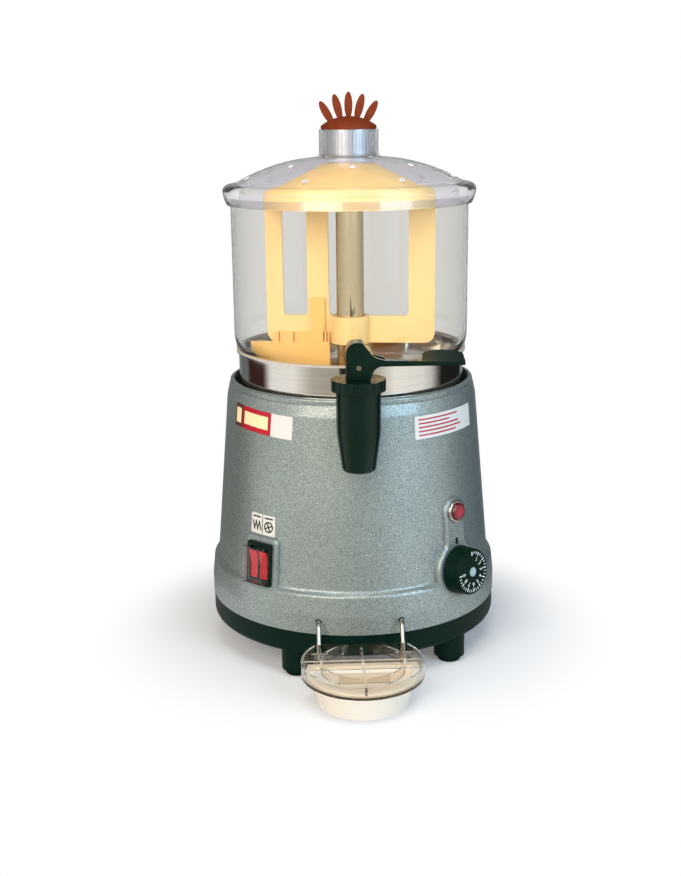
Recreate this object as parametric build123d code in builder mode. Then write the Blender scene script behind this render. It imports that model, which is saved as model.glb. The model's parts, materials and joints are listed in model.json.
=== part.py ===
from build123d import *
from math import atan, cos, radians, sin, sqrt, tan
import os

os.makedirs("parts", exist_ok=True)

# A counter-top dispenser for hot chocolate: a heated water bath in a round housing, a clear bowl on a
# steel pan with a lever tap, a turning mixer, a domed lid and a drip tray that hangs on a bent wire.
# Millimetres, +Z up. The machine's axis is Z and its feet stand on z = 0. The tap faces -Y.
# Angles named turn or angle are degrees from the front towards +X.

# Fits
seat_gap = 0.3
running_gap = 0.06
touch_gap = 0.02

# Hexagons, for nuts and the mixer's drive
hex_sides = 6

# Feet and base
foot_height = 5.0
foot_radius = 10.0
foot_count = 5
foot_turn = -27.5
foot_inset = 14.5
foot_chamfer = 0.8
leg_height = 18.0
leg_radius = 13.5
base_height = 21.0
base_setback = 0.5
base_floor = 3.0
base_edge = 5.0
upstand_height = 8.0
upstand_wall = 3.0

# Vessel: steel pan, seal and clear bowl
pan_radius = 100.0
pan_wall = 1.2
pan_height = 29.0
pan_flange = 2.0
pan_corner = 2.5
seal_thickness = 1.8
bowl_wall = 3.0
bowl_height = 132.0
bowl_overhang = 3.4
bowl_corner = 14.0
bowl_seat = 0.8
spigot_depth = 10.0
tube_radius = 12.25
tube_wall = 1.0
tube_play = 1.0
pipe_radius = 7.0
pipe_wall = 1.4

# Housing
shell_height = 198.2
shell_wall = 2.0
rim_gap = 5.0
rim_thickness = 3.6
bead_height = 5.5
bead_step = 0.8
shoulder_rise = 2.9
shoulder_drop = 15.0
body_spread = 12.7
band_proud = 5.8
band_taper = 1.8
band_height = 33.2
band_straight = 16.0
band_step = 3.0
ledge_depth = 8.0
ledge_width = 7.0
band_round = 3.0
shoulder_round = 12.0
rim_round = 2.2
notch_gap = 1.5

# Controls on the housing
switch_angle = 41.5
dial_angle = 43.5
pad_proud = 3.0
pad_depth = 24.0
pad_round = 2.5
pad_flare = 6.0
switch_height = 97.5
switch_pad_width = 36.0
switch_pad_height = 48.0
switch_pad_corner = 5.0
bezel_width = 27.0
bezel_height = 37.5
bezel_thickness = 2.5
bezel_border = 1.8
switch_depth = 20.0
rocker_well = 7.5
rocker_border = 3.4
rocker_end_border = 4.5
rocker_play = 1.7
rocker_divider = 1.2
rocker_tilt = 8.0
rocker_pivot_depth = 2.5
rocker_lip = 5.0
rocker_dip = 3.5
rocker_foot = 2.5
rocker_foot_length = 16.0
trunnion_radius = 1.2
trunnion_grip = 0.5
cover_height = 8.0
cover_wall = 1.2
cover_room = 0.6
cover_round = 1.0
dial_height = 87.0
dial_radius = 21.0
dial_depth = 15.0
dial_draft = 5.0
dial_stand = 1.0
dial_pad_margin = 4.5
dial_cap_radius = 4.0
dial_cap_depth = 1.2
dial_edge = 1.2
spindle_radius = 3.0
spindle_cover = 7.0
thermostat_radius = 19.0
thermostat_depth = 22.0
bushing_radius = 5.0
bushing_stand = 2.5
lamp_rise = 51.5
lamp_radius = 10.0
lamp_stand = 3.0
lamp_rim = 2.2
lamp_barrel = 6.0
lamp_barrel_depth = 14.0
lamp_edge = 1.2
lamp_floor = 1.0
lamp_pad_margin = 2.6
lens_stand = 2.6
lens_round = 2.3

# Water bath, heater and drive
gasket_thickness = 3.0
gasket_width = 8.0
tank_wall = 1.2
tank_depth = 68.0
tank_play = 1.0
standpipe_radius = 9.0
standpipe_rise = 45.0
heater_circle = 60.0
heater_radius = 4.0
heater_post = 5.0
heater_lift = 12.0
heater_gap_angle = 40.0
heater_tail = 16.0
heater_nut_radius = 9.0
heater_nut_height = 5.0
cutout_radius = 10.0
cutout_height = 12.0
cutout_reach = 52.0
cutout_angle = -130.0
capillary_radius = 1.0
capillary_bend = 8.0
capillary_straight = 4.0
bulb_radius = 3.0
bulb_length = 35.0
bulb_circle = 60.0
shaft_radius = 5.0
shaft_hex = 4.0
shaft_hex_length = 12.0
bush_length = 12.0
coupling_radius = 9.0
coupling_length = 28.0
motor_room = 8.0
motor_height = 36.0
motor_radius = 28.0
motor_offset = 42.0
gear_case_height = 34.0
gear_case_width = 60.0
gear_case_length = 102.0
gear_case_corner = 7.5
output_depth = 24.0
bracket_sheet = 2.5
bracket_width = 92.0
bracket_length = 56.0
bracket_foot = 16.0
screw_radius = 2.0
screw_head_radius = 3.6
screw_head_height = 2.2
screw_length = 8.0
shell_screw_angles = (-145, -105, 105, 145)
shell_screw_height = 4.0
terminal_width = 36.0
terminal_length = 18.0
terminal_height = 15.0
terminal_setback = 35.0
terminal_ways = 3
gland_radius = 9.0
gland_barrel = 6.0
gland_bore = 3.6
gland_height = 20.0
gland_stand = 6.0
gland_cap = 10.0
gland_cap_radius = 7.2
gland_draft = 8.0
gland_nut = 4.0

# Tap
tap_bore = 13.0
tap_wall = 5.0
tap_gap = 4.5
tap_length = 69.5
tap_rise = 12.6
tap_tip_radius = 13.6
tap_taper = 33.0
tap_tip_round = 3.0
tap_shoulder_round = 100.0
tap_outlet = 9.0
tap_seat = 8.0
tap_neck = 2.4
socket_radius = 10.5
socket_length = 6.0
nut_radius = 22.0
nut_skirt = 3.0
nut_room = 2.0
nut_roof = 4.0
nut_teeth = 24
nut_tooth = 1.7
piston_lift = 7.5
piston_wall = 3.2
piston_cover = 1.4
stem_radius = 4.5
stem_top = 6.0
oring_section = 1.0
spring_wire = 3.0
lever_height = 10.0
lever_left = 10.0
lever_right = 9.0
lever_crown = 20.0
lever_thickness = 18.0
lever_length = 84.0
lever_arm_thickness = 8.0
lever_arm_top = 3.6
lever_arm_bottom = 0.9
lever_root = 21.0
lever_nose = 3.0
lever_throat = 12.0
lever_throat_height = 8.0
lever_flare = 2.0
lever_under = 13.0
lever_round = 8.0
lever_slot_room = 3.0
lever_face_depth = 1.0
lever_border = 2.2
lever_boss = 7.0
lever_pin_radius = 2.0
paddle_length = 33.0
paddle_width = 25.0
paddle_thickness = 3.2
paddle_tilt = 12.0
paddle_corner = 11.0
paddle_edge = 1.6

# Mixer and scraper
mixer_turn = -9.0
mixer_wall = 2.5
mixer_headroom = 6.0
cone_tip_radius = 22.0
cone_rise = 24.0
skirt_radius = 75.0
skirt_height = 10.0
blade_thickness = 4.0
blade_drop = 122.0
bar_height = 24.0
blade_corner = 9.0
window_corner = 4.0
left_blade = 15.0
right_blade = 23.0
stem_blade_inner = 19.0
stem_blade_width = 19.0
collar_radius = 17.5
hub_radius = 10.0
tube_clearance = 0.6
scraper_thickness = 3.0
scraper_height = 41.0
scraper_width = 50.0
scraper_toe = 22.0
scraper_toe_height = 32.0
scraper_tab_width = 12.0
scraper_tab_rise = 7.6
scraper_gap = 1.0
scraper_notch_width = 1.6
scraper_notch_depth = 9.0
scraper_notches = (0.1, 0.36, 0.9, 0.96)
scraper_round = 1.0
scraper_float = 6.0
guide_pin_radius = 1.7
guide_head_radius = 4.0

# Lid and its knob
lid_wall = 2.5
lid_drop = 7.0
lid_lip = 6.0
lid_lip_height = 10.0
lid_play = 0.6
lid_rise = 32.0
lid_bulge = 4.2
lid_guide = 6.0
neck_radius = 25.7
neck_height = 23.0
neck_foot = 2.3
neck_rib = 0.6
neck_rib_count = 48
vent_radius = 1.4
vent_count = 7
vent_outer_circle = 90.0
vent_inner_circle = 64.0
sleeve_wall = 1.6
cap_flange = 1.7
cap_edge = 3.0
cap_dome = 8.0
cap_plug = 9.0
petal_count = 5
petal_width = 3.4
petal_length = 11.0
petal_thickness = 5.0
petal_spread = 30.0
petal_step = 9.5
petal_rise = 9.0

# Drip tray
tray_gap = 5.0
tray_radius = 50.5
tray_chord = 33.8
tray_bottom = 28.2
tray_height = 11.0
tray_wall = 2.0
tray_ledge = 1.6
cup_radius = 42.0
cup_flange = 4.0
cup_chord = 8.0
cup_depth = 26.0
cup_wall = 1.6
cup_draft = 8.0
grid_ring = 34.0
grid_bar = 2.0
grid_front_bar = 25.0
hook_spread = 70.0
hook_wire = 2.0
hook_height = 55.2
hook_bend = 4.0
hook_inside = 18.0
hook_slack = 0.6
hook_throat = 11.0
hook_web = 2.5
hook_clearance = 1.2
hook_tip = 8.8
hook_slot_gap = 1.6
hook_web_grip = 3.2

# Levels, from the table up
base_bottom = foot_height + leg_height
shell_bottom = base_bottom + base_height
floor_top = base_bottom + base_floor
band_top = shell_bottom + band_height
body_bottom = band_top + band_step
rim_top = shell_bottom + shell_height
shoulder_height = rim_top - shoulder_drop
ledge_top = rim_top - ledge_depth
pan_bottom = ledge_top + tank_wall + gasket_thickness
pan_floor = pan_bottom + pan_wall
pan_rim = pan_bottom + pan_height
bowl_bottom = pan_rim + seal_thickness
bowl_top = bowl_bottom + bowl_height
neck_bottom = bowl_top + lid_rise
neck_top = neck_bottom + neck_height
cone_top = neck_bottom - mixer_headroom
skirt_top = cone_top - cone_rise
skirt_bottom = skirt_top - skirt_height
blade_bottom = skirt_bottom - blade_drop
bar_top = blade_bottom + bar_height
hub_bottom = cone_top - mixer_wall - shaft_hex_length
tube_top = hub_bottom - tube_play
tank_floor = ledge_top + tank_wall - tank_depth
gear_top = tank_floor - motor_room - motor_height
bracket_top = gear_top - gear_case_height
outlet_height = pan_floor + pipe_radius
tap_top = outlet_height + tap_rise
tap_bottom = tap_top - tap_length
nut_bottom = tap_top - nut_skirt
nut_ceiling = tap_top + nut_room
nut_top = nut_ceiling + nut_roof
pivot_height = nut_top + seat_gap + lever_height

# Radii and reaches, from the axis out
rim_radius = pan_radius + rim_gap
bead_radius = rim_radius + rim_thickness
shoulder_radius = bead_radius + shoulder_rise
body_radius = shoulder_radius + body_spread
band_radius = body_radius + band_proud
base_radius = band_radius - base_setback
upstand_radius = band_radius - shell_wall - seat_gap
foot_circle = band_radius - foot_inset
ledge_radius = rim_radius - ledge_width
tank_radius = ledge_radius - tank_play
tank_flange_radius = rim_radius - tank_play
standpipe_bore = standpipe_radius - tank_wall
bowl_radius = pan_radius + bowl_overhang
spigot_radius = pan_radius - pan_wall - seat_gap
tap_radius = tap_bore + tap_wall
tap_axis = shoulder_radius + tap_gap + tap_radius
tray_back = band_radius + tray_gap
tray_axis = tray_back + tray_chord
foot_start = foot_turn - 90
terminal_reach = band_radius - terminal_setback
lean = atan(body_spread / (shoulder_height - body_bottom))


def facing(angle, radius, height):
    """Upright plane that faces out from the axis at this angle, with its x to the right and its y up."""
    side = radians(angle)
    place = (radius * sin(side), -radius * cos(side), height)
    return Plane(origin=place, x_dir=(cos(side), sin(side), 0), z_dir=(sin(side), -cos(side), 0))


def pad_plane(angle, height):
    """Face of a raised control pad: it leans back with the housing's wall."""
    side = radians(angle)
    reach = body_radius - (height - body_bottom) * tan(lean) + pad_proud
    out = (sin(side) * cos(lean), -cos(side) * cos(lean), sin(lean))
    place = (reach * sin(side), -reach * cos(side), height)
    return Plane(origin=place, x_dir=(cos(side), sin(side), 0), z_dir=out)


def tray_plane(height):
    """Level plane centred on the drip tray."""
    return Plane((0, -tray_axis, height))


tap_line = Axis((0, -tap_axis, 0), (0, 0, 1))
switch_plane = pad_plane(-switch_angle, switch_height)
dial_plane = pad_plane(dial_angle, dial_height)
lamp_plane = pad_plane(dial_angle, dial_height + lamp_rise)
gland_plane = facing(180, band_radius, shell_bottom + gland_height)
mixer_plane = facing(mixer_turn, 0, 0)

# Black base: a ring and floor with five legs, and an upstand that the housing drops over
with BuildPart() as base_pan:
    with BuildSketch(Plane.XZ):
        with BuildLine():
            FilletPolyline(
                (0, base_bottom),
                (base_radius, base_bottom),
                (base_radius, shell_bottom),
                (upstand_radius, shell_bottom),
                (upstand_radius, shell_bottom + upstand_height),
                (upstand_radius - upstand_wall, shell_bottom + upstand_height),
                (upstand_radius - upstand_wall, floor_top),
                (0, floor_top),
                radius=[0, base_edge, 0, 0, 0, 0, 0, 0],
                close=True,
            )
        make_face()
    revolve(axis=Axis.Z)
    with BuildSketch(Plane.XY.offset(foot_height)):
        with PolarLocations(foot_circle, foot_count, start_angle=foot_start):
            Circle(leg_radius)
    extrude(amount=leg_height + base_floor)
    with BuildSketch(Plane.XY.offset(foot_height)):
        with PolarLocations(foot_circle, foot_count, start_angle=foot_start):
            Circle(screw_radius + running_gap)
    extrude(amount=screw_length + 1, mode=Mode.SUBTRACT)
    for angle in shell_screw_angles:
        with BuildSketch(facing(angle, upstand_radius - 2 * upstand_wall, shell_bottom + shell_screw_height)):
            Circle(screw_radius + running_gap)
        extrude(amount=3 * upstand_wall, mode=Mode.SUBTRACT)
    with BuildSketch(Plane.XY.offset(base_bottom)):
        with GridLocations(bracket_width + bracket_foot, bracket_length - bracket_foot, 2, 2):
            Circle(screw_radius + running_gap)
    extrude(amount=base_floor, mode=Mode.SUBTRACT)
base_pan.part.label = "base_pan"
export_step(base_pan.part, "parts/base_pan.step")

# Rubber pads under the legs, each hollowed for its screw's head
foot_recess = foot_height / 2
with BuildPart() as feet:
    with BuildSketch():
        with PolarLocations(foot_circle, foot_count, start_angle=foot_start):
            Circle(foot_radius)
    extrude(amount=foot_height)
    chamfer(feet.edges().group_by(Axis.Z)[0], foot_chamfer)
    with BuildSketch():
        with PolarLocations(foot_circle, foot_count, start_angle=foot_start):
            Circle(screw_head_radius + seat_gap)
    extrude(amount=foot_recess, mode=Mode.SUBTRACT)
    with BuildSketch():
        with PolarLocations(foot_circle, foot_count, start_angle=foot_start):
            Circle(screw_radius + running_gap)
    extrude(amount=foot_height, mode=Mode.SUBTRACT)
feet.part.label = "feet"
export_step(feet.part, "parts/feet.step")

with BuildPart() as foot_screws:
    with BuildSketch(Plane.XY.offset(foot_recess - screw_head_height)):
        with PolarLocations(foot_circle, foot_count, start_angle=foot_start):
            Circle(screw_head_radius)
    extrude(amount=screw_head_height)
    with BuildSketch(Plane.XY.offset(foot_recess)):
        with PolarLocations(foot_circle, foot_count, start_angle=foot_start):
            Circle(screw_radius)
    extrude(amount=foot_height - foot_recess + screw_length)
foot_screws.part.label = "foot_screws"
export_step(foot_screws.part, "parts/foot_screws.step")


def switch_pad(inset):
    """Outline of the pad under the switch, drawn in the open sketch."""
    RectangleRounded(switch_pad_width - 2 * inset, switch_pad_height - 2 * inset, switch_pad_corner - inset)


def dial_pad(inset):
    """Keyhole outline of the pad: round about the dial, flaring into a narrow neck up round the lamp."""
    neck = lamp_radius + lamp_pad_margin - inset
    wide = dial_radius + dial_pad_margin - inset
    flare = pad_flare + inset
    flare_height = sqrt((wide + flare) ** 2 - (neck + flare) ** 2)
    join_x = wide * (neck + flare) / (wide + flare)
    join_y = wide * flare_height / (wide + flare)
    with BuildLine() as outline:
        ThreePointArc((join_x, join_y), (0, -wide), (-join_x, join_y))
        TangentArc((-neck, flare_height), (-join_x, join_y), tangent=(0, -1))
        Line((-neck, flare_height), (-neck, lamp_rise))
        ThreePointArc((-neck, lamp_rise), (0, lamp_rise + neck), (neck, lamp_rise))
        Line((neck, lamp_rise), (neck, flare_height))
        TangentArc((neck, flare_height), (join_x, join_y), tangent=(0, -1))
    make_face(outline.edges())


# The pads' raised forms, with soft edges, which the housing is pressed over
with BuildPart() as raised_pads:
    with BuildSketch(switch_plane):
        switch_pad(0)
    extrude(amount=-pad_depth)
    with BuildSketch(dial_plane):
        dial_pad(0)
    extrude(amount=-pad_depth)
    for pad in (switch_plane, dial_plane):
        pad_face = raised_pads.faces().sort_by(Axis(pad.origin, pad.z_dir))[-1]
        fillet(pad_face.edges(), pad_round)

# Painted housing: a leaning body over a wider band, raised pads for the controls, a beaded rim
outer_profile = [
    ((0, shell_bottom), 0),
    ((band_radius, shell_bottom), 0),
    ((band_radius, shell_bottom + band_straight), 0),
    ((band_radius - band_taper, band_top), band_round),
    ((body_radius, body_bottom), band_round),
    ((shoulder_radius, shoulder_height), shoulder_round),
    ((bead_radius + bead_step, rim_top - bead_height), 0),
    ((bead_radius, rim_top - bead_height + bead_step), 0),
    ((bead_radius, rim_top), rim_round),
    ((0, rim_top), 0),
]
with BuildPart() as outer_shell:
    with BuildSketch(Plane.XZ):
        with BuildLine():
            FilletPolyline(*[p for p, r in outer_profile], radius=[r for p, r in outer_profile], close=True)
        make_face()
    revolve(axis=Axis.Z)
    # The band is cut back in front of each pad's face before the pads join the body
    for pad, outline in ((switch_plane, switch_pad), (dial_plane, dial_pad)):
        with BuildSketch(pad):
            outline(pad_round)
        extrude(amount=pad_depth, mode=Mode.SUBTRACT)
    for raised_pad in raised_pads.solids():
        add(raised_pad)
    with BuildSketch(Plane.XZ):
        with BuildLine():
            Polyline(
                (0, shell_bottom),
                (band_radius - shell_wall, shell_bottom),
                (band_radius - shell_wall, shell_bottom + band_straight),
                (band_radius - band_taper - shell_wall, band_top - shell_wall),
                (body_radius - shell_wall, body_bottom - shell_wall),
                (shoulder_radius - shell_wall, shoulder_height),
                (bead_radius - shell_wall, ledge_top - shell_wall),
                (0, ledge_top - shell_wall),
                close=True,
            )
        make_face()
    revolve(axis=Axis.Z, mode=Mode.SUBTRACT)
    with BuildSketch(switch_plane.offset(-shell_wall)):
        switch_pad(shell_wall)
    extrude(amount=-pad_depth, mode=Mode.SUBTRACT)
    with BuildSketch(dial_plane.offset(-shell_wall)):
        dial_pad(shell_wall)
    extrude(amount=-pad_depth, mode=Mode.SUBTRACT)
    with BuildSketch(Plane.XY.offset(ledge_top - shell_wall)):
        Circle(ledge_radius)
    extrude(amount=shell_wall, mode=Mode.SUBTRACT)
    with BuildSketch(Plane.XY.offset(ledge_top)):
        Circle(rim_radius)
    extrude(amount=ledge_depth, mode=Mode.SUBTRACT)
    # Notch in the rim for the pan's outlet pipe
    with BuildSketch(Plane.XZ.offset(rim_radius - rim_gap)):
        with Locations((0, outlet_height)):
            Circle(pipe_radius + notch_gap)
    extrude(amount=rim_gap + 2 * rim_thickness + shoulder_rise, mode=Mode.SUBTRACT)
    # Cut-outs for the switch, the dial's bushing, the lamp, the tray wire, the screws and the cable gland
    with BuildSketch(switch_plane):
        Rectangle(
            bezel_width - 2 * bezel_border + 2 * seat_gap,
            bezel_height - 2 * bezel_border + 2 * seat_gap,
        )
    extrude(amount=-pad_depth, mode=Mode.SUBTRACT)
    with BuildSketch(dial_plane):
        Circle(bushing_radius + seat_gap)
    extrude(amount=-pad_depth, mode=Mode.SUBTRACT)
    with BuildSketch(lamp_plane):
        Circle(lamp_barrel + seat_gap)
    extrude(amount=-pad_depth, mode=Mode.SUBTRACT)
    with BuildSketch(Plane.XZ.offset(band_radius - 3 * hook_inside)):
        with GridLocations(hook_spread, 1, 2, 1):
            with Locations((0, hook_height)):
                Circle(hook_wire + hook_slack)
    extrude(amount=4 * hook_inside, mode=Mode.SUBTRACT)
    for angle in shell_screw_angles:
        with BuildSketch(facing(angle, band_radius - 2 * shell_wall, shell_bottom + shell_screw_height)):
            Circle(screw_radius + seat_gap)
        extrude(amount=3 * shell_wall, mode=Mode.SUBTRACT)
    with BuildSketch(gland_plane.offset(-2 * shell_wall)):
        Circle(gland_barrel + seat_gap)
    extrude(amount=3 * shell_wall, mode=Mode.SUBTRACT)
outer_shell.part.label = "outer_shell"
export_step(outer_shell.part, "parts/outer_shell.step")

with BuildPart() as shell_screws:
    for angle in shell_screw_angles:
        with BuildSketch(facing(angle, band_radius + touch_gap, shell_bottom + shell_screw_height)):
            Circle(screw_head_radius)
        extrude(amount=screw_head_height)
        with BuildSketch(facing(angle, band_radius + touch_gap, shell_bottom + shell_screw_height)):
            Circle(screw_radius)
        extrude(amount=-screw_length)
shell_screws.part.label = "shell_screws"
export_step(shell_screws.part, "parts/shell_screws.step")

# Steel water bath: it hangs by its flange on the housing's ledge and has a standpipe for the drive shaft
heater_ends = [180 - heater_gap_angle / 2, 180 + heater_gap_angle / 2]
with BuildPart() as water_tank:
    with BuildSketch(Plane.XZ):
        with BuildLine():
            Polyline(
                (standpipe_bore, tank_floor),
                (tank_radius, tank_floor),
                (tank_radius, ledge_top),
                (tank_flange_radius, ledge_top),
                (tank_flange_radius, ledge_top + tank_wall),
                (tank_radius - tank_wall, ledge_top + tank_wall),
                (tank_radius - tank_wall, tank_floor + tank_wall),
                (standpipe_radius, tank_floor + tank_wall),
                (standpipe_radius, pan_bottom + standpipe_rise),
                (standpipe_bore, pan_bottom + standpipe_rise),
                close=True,
            )
        make_face()
    revolve(axis=Axis.Z)
    with BuildSketch(Plane.XY.offset(tank_floor)):
        for angle in heater_ends:
            with PolarLocations(heater_circle, 1, start_angle=angle):
                Circle(heater_post + seat_gap)
    extrude(amount=tank_wall, mode=Mode.SUBTRACT)
water_tank.part.label = "water_tank"
export_step(water_tank.part, "parts/water_tank.step")

with BuildPart() as tank_gasket:
    with BuildSketch(Plane.XY.offset(ledge_top + tank_wall)):
        Circle(tank_flange_radius)
        Circle(tank_flange_radius - gasket_width, mode=Mode.SUBTRACT)
    extrude(amount=gasket_thickness)
tank_gasket.part.label = "tank_gasket"
export_step(tank_gasket.part, "parts/tank_gasket.step")

# Tubular heater: most of a ring in the water, with two posts down through the bath's floor
heater_level = tank_floor + tank_wall + heater_lift
with BuildPart() as heater_element:
    with BuildSketch(facing(heater_ends[1], 0, heater_level)):
        with Locations((heater_circle, 0)):
            Circle(heater_radius)
    revolve(axis=Axis.Z, revolution_arc=360 - heater_gap_angle)
    with BuildSketch(Plane.XY.offset(tank_floor - heater_tail)):
        for angle in heater_ends:
            with PolarLocations(heater_circle, 1, start_angle=angle):
                Circle(heater_post)
    extrude(amount=heater_tail + tank_wall + heater_lift + heater_post)
heater_element.part.label = "heater_element"
export_step(heater_element.part, "parts/heater_element.step")

with BuildPart() as heater_nuts:
    with BuildSketch(Plane.XY.offset(tank_floor - heater_nut_height)):
        for angle in heater_ends:
            with PolarLocations(heater_circle, 1, start_angle=angle):
                RegularPolygon(heater_nut_radius, hex_sides)
                Circle(heater_post + running_gap, mode=Mode.SUBTRACT)
    extrude(amount=heater_nut_height)
heater_nuts.part.label = "heater_nuts"
export_step(heater_nuts.part, "parts/heater_nuts.step")

# Safety cut-out: a flanged disc against the bath's floor, with two blade terminals
with BuildPart() as safety_thermostat:
    with BuildSketch(Plane.XY.offset(tank_floor)):
        with PolarLocations(cutout_reach, 1, start_angle=cutout_angle):
            Circle(cutout_radius)
    extrude(amount=-cutout_height / 2)
    with BuildSketch(Plane.XY.offset(tank_floor - cutout_height / 2)):
        with PolarLocations(cutout_reach, 1, start_angle=cutout_angle):
            with GridLocations(cutout_radius, 1, 2, 1):
                Rectangle(1, cutout_radius / 2)
    extrude(amount=-cutout_height / 2)
safety_thermostat.part.label = "safety_thermostat"
export_step(safety_thermostat.part, "parts/safety_thermostat.step")

# Thermostat behind the dial, its spindle, and the capillary that runs up to a bulb under the bath
with BuildPart() as thermostat_body:
    with BuildSketch(dial_plane.offset(-shell_wall)):
        Circle(thermostat_radius)
    extrude(amount=-thermostat_depth)
    with BuildSketch(dial_plane.offset(-shell_wall)):
        Circle(bushing_radius)
    extrude(amount=shell_wall + bushing_stand)
    with BuildSketch(dial_plane.offset(bushing_stand)):
        Circle(spindle_radius + running_gap)
    extrude(amount=-thermostat_depth, mode=Mode.SUBTRACT)
thermostat_body.part.label = "thermostat_body"
export_step(thermostat_body.part, "parts/thermostat_body.step")

spindle_end = dial_stand + dial_depth - spindle_cover
with BuildPart() as thermostat_spindle:
    with BuildSketch(dial_plane.offset(bushing_stand - thermostat_depth + seat_gap)):
        Circle(spindle_radius)
    extrude(amount=thermostat_depth - bushing_stand - seat_gap + spindle_end)
thermostat_spindle.part.label = "thermostat_spindle"
export_step(thermostat_spindle.part, "parts/thermostat_spindle.step")

dial_side = radians(dial_angle)
capillary_start = (dial_plane.offset(-shell_wall - thermostat_depth)).origin
capillary_reach = sqrt(capillary_start.X**2 + capillary_start.Y**2)
bulb_level = tank_floor - bulb_radius - touch_gap
capillary_turn = bulb_circle + 2 * capillary_bend + capillary_straight
with BuildPart() as thermostat_capillary:
    outward = (sin(dial_side), -cos(dial_side), 0)
    across = (-cos(dial_side), -sin(dial_side), 0)
    radial = Plane((0, 0, 0), x_dir=outward, z_dir=across)
    with BuildLine(radial) as capillary:
        FilletPolyline(
            (capillary_reach, capillary_start.Z),
            (capillary_turn, capillary_start.Z - (capillary_reach - capillary_turn) * tan(lean)),
            (capillary_turn, bulb_level),
            (bulb_circle - 1, bulb_level),
            radius=capillary_bend,
        )
    with BuildSketch(Plane(origin=capillary.line @ 0, z_dir=capillary.line % 0)):
        Circle(capillary_radius)
    sweep()
    with BuildSketch(facing(dial_angle, bulb_circle - bulb_length, bulb_level)):
        Circle(bulb_radius)
    extrude(amount=bulb_length)
thermostat_capillary.part.label = "thermostat_capillary"
export_step(thermostat_capillary.part, "parts/thermostat_capillary.step")

# Dial: a drafted knob with a round well in its back for the bushing, and a light cap in its face
with BuildPart() as dial:
    with BuildSketch(dial_plane.offset(dial_stand)):
        Circle(dial_radius)
    extrude(amount=dial_depth, taper=dial_draft)
    fillet(dial.faces().sort_by(Axis(dial_plane.origin, dial_plane.z_dir))[-1].edges(), dial_edge)
    with BuildSketch(dial_plane.offset(dial_stand)):
        Circle(bushing_radius + notch_gap)
    extrude(amount=bushing_stand, mode=Mode.SUBTRACT)
    with BuildSketch(dial_plane.offset(dial_stand)):
        Circle(spindle_radius + touch_gap)
    extrude(amount=spindle_end - dial_stand, mode=Mode.SUBTRACT)
    with BuildSketch(dial_plane.offset(dial_stand + dial_depth - dial_cap_depth)):
        Circle(dial_cap_radius + touch_gap)
    extrude(amount=dial_cap_depth, mode=Mode.SUBTRACT)
dial.part.label = "dial"
export_step(dial.part, "parts/dial.step")

with BuildPart() as dial_cap:
    with BuildSketch(dial_plane.offset(dial_stand + dial_depth - dial_cap_depth)):
        Circle(dial_cap_radius)
    extrude(amount=dial_cap_depth + seat_gap)
dial_cap.part.label = "dial_cap"
export_step(dial_cap.part, "parts/dial_cap.step")

# Pilot lamp: a chromed ring with its barrel, and a red lens that sits in the ring
with BuildPart() as lamp_ring:
    with BuildSketch(lamp_plane):
        Circle(lamp_radius)
    extrude(amount=lamp_stand)
    fillet(lamp_ring.faces().sort_by(Axis(lamp_plane.origin, lamp_plane.z_dir))[-1].edges(), lamp_edge)
    with BuildSketch(lamp_plane.offset(lamp_stand)):
        Circle(lamp_radius - lamp_rim)
    extrude(amount=lamp_floor - lamp_stand, mode=Mode.SUBTRACT)
    with BuildSketch(lamp_plane):
        Circle(lamp_barrel)
    extrude(amount=-lamp_barrel_depth)
lamp_ring.part.label = "lamp_ring"
export_step(lamp_ring.part, "parts/lamp_ring.step")

with BuildPart() as lamp_lens:
    with BuildSketch(lamp_plane.offset(lamp_floor)):
        Circle(lamp_radius - lamp_rim - touch_gap)
    extrude(amount=lamp_stand - lamp_floor + lens_stand)
    fillet(lamp_lens.faces().sort_by(Axis(lamp_plane.origin, lamp_plane.z_dir))[-1].edges(), lens_round)
lamp_lens.part.label = "lamp_lens"
export_step(lamp_lens.part, "parts/lamp_lens.step")

# Twin rocker switch: bezel and body in one, two rockers on trunnions, a clear splash cover
well_width = bezel_width - 2 * rocker_border
well_height = bezel_height - 2 * rocker_end_border
rocker_length = well_height - 2 * rocker_play
rocker_width = (well_width - rocker_divider) / 2 - 2 * seat_gap
rocker_centre = (rocker_width + rocker_divider) / 2 + seat_gap
with BuildPart() as switch_body:
    with BuildSketch(switch_plane):
        RectangleRounded(bezel_width, bezel_height, bezel_border)
    extrude(amount=bezel_thickness)
    with BuildSketch(switch_plane):
        Rectangle(bezel_width - 2 * bezel_border, bezel_height - 2 * bezel_border)
    extrude(amount=-switch_depth)
    with BuildSketch(switch_plane.offset(bezel_thickness)):
        with GridLocations(2 * rocker_centre, 1, 2, 1):
            Rectangle(rocker_width + 2 * seat_gap, well_height)
    extrude(amount=-bezel_thickness - rocker_well, mode=Mode.SUBTRACT)
    pivot_side = Plane(
        origin=switch_plane.offset(-rocker_pivot_depth).origin,
        x_dir=switch_plane.y_dir,
        z_dir=switch_plane.x_dir,
    )
    with BuildSketch(pivot_side):
        Circle(trunnion_radius + running_gap)
    extrude(amount=well_width / 2 + 2 * trunnion_grip, both=True, mode=Mode.SUBTRACT)
switch_body.part.label = "switch_body"
export_step(switch_body.part, "parts/switch_body.step")


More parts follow.
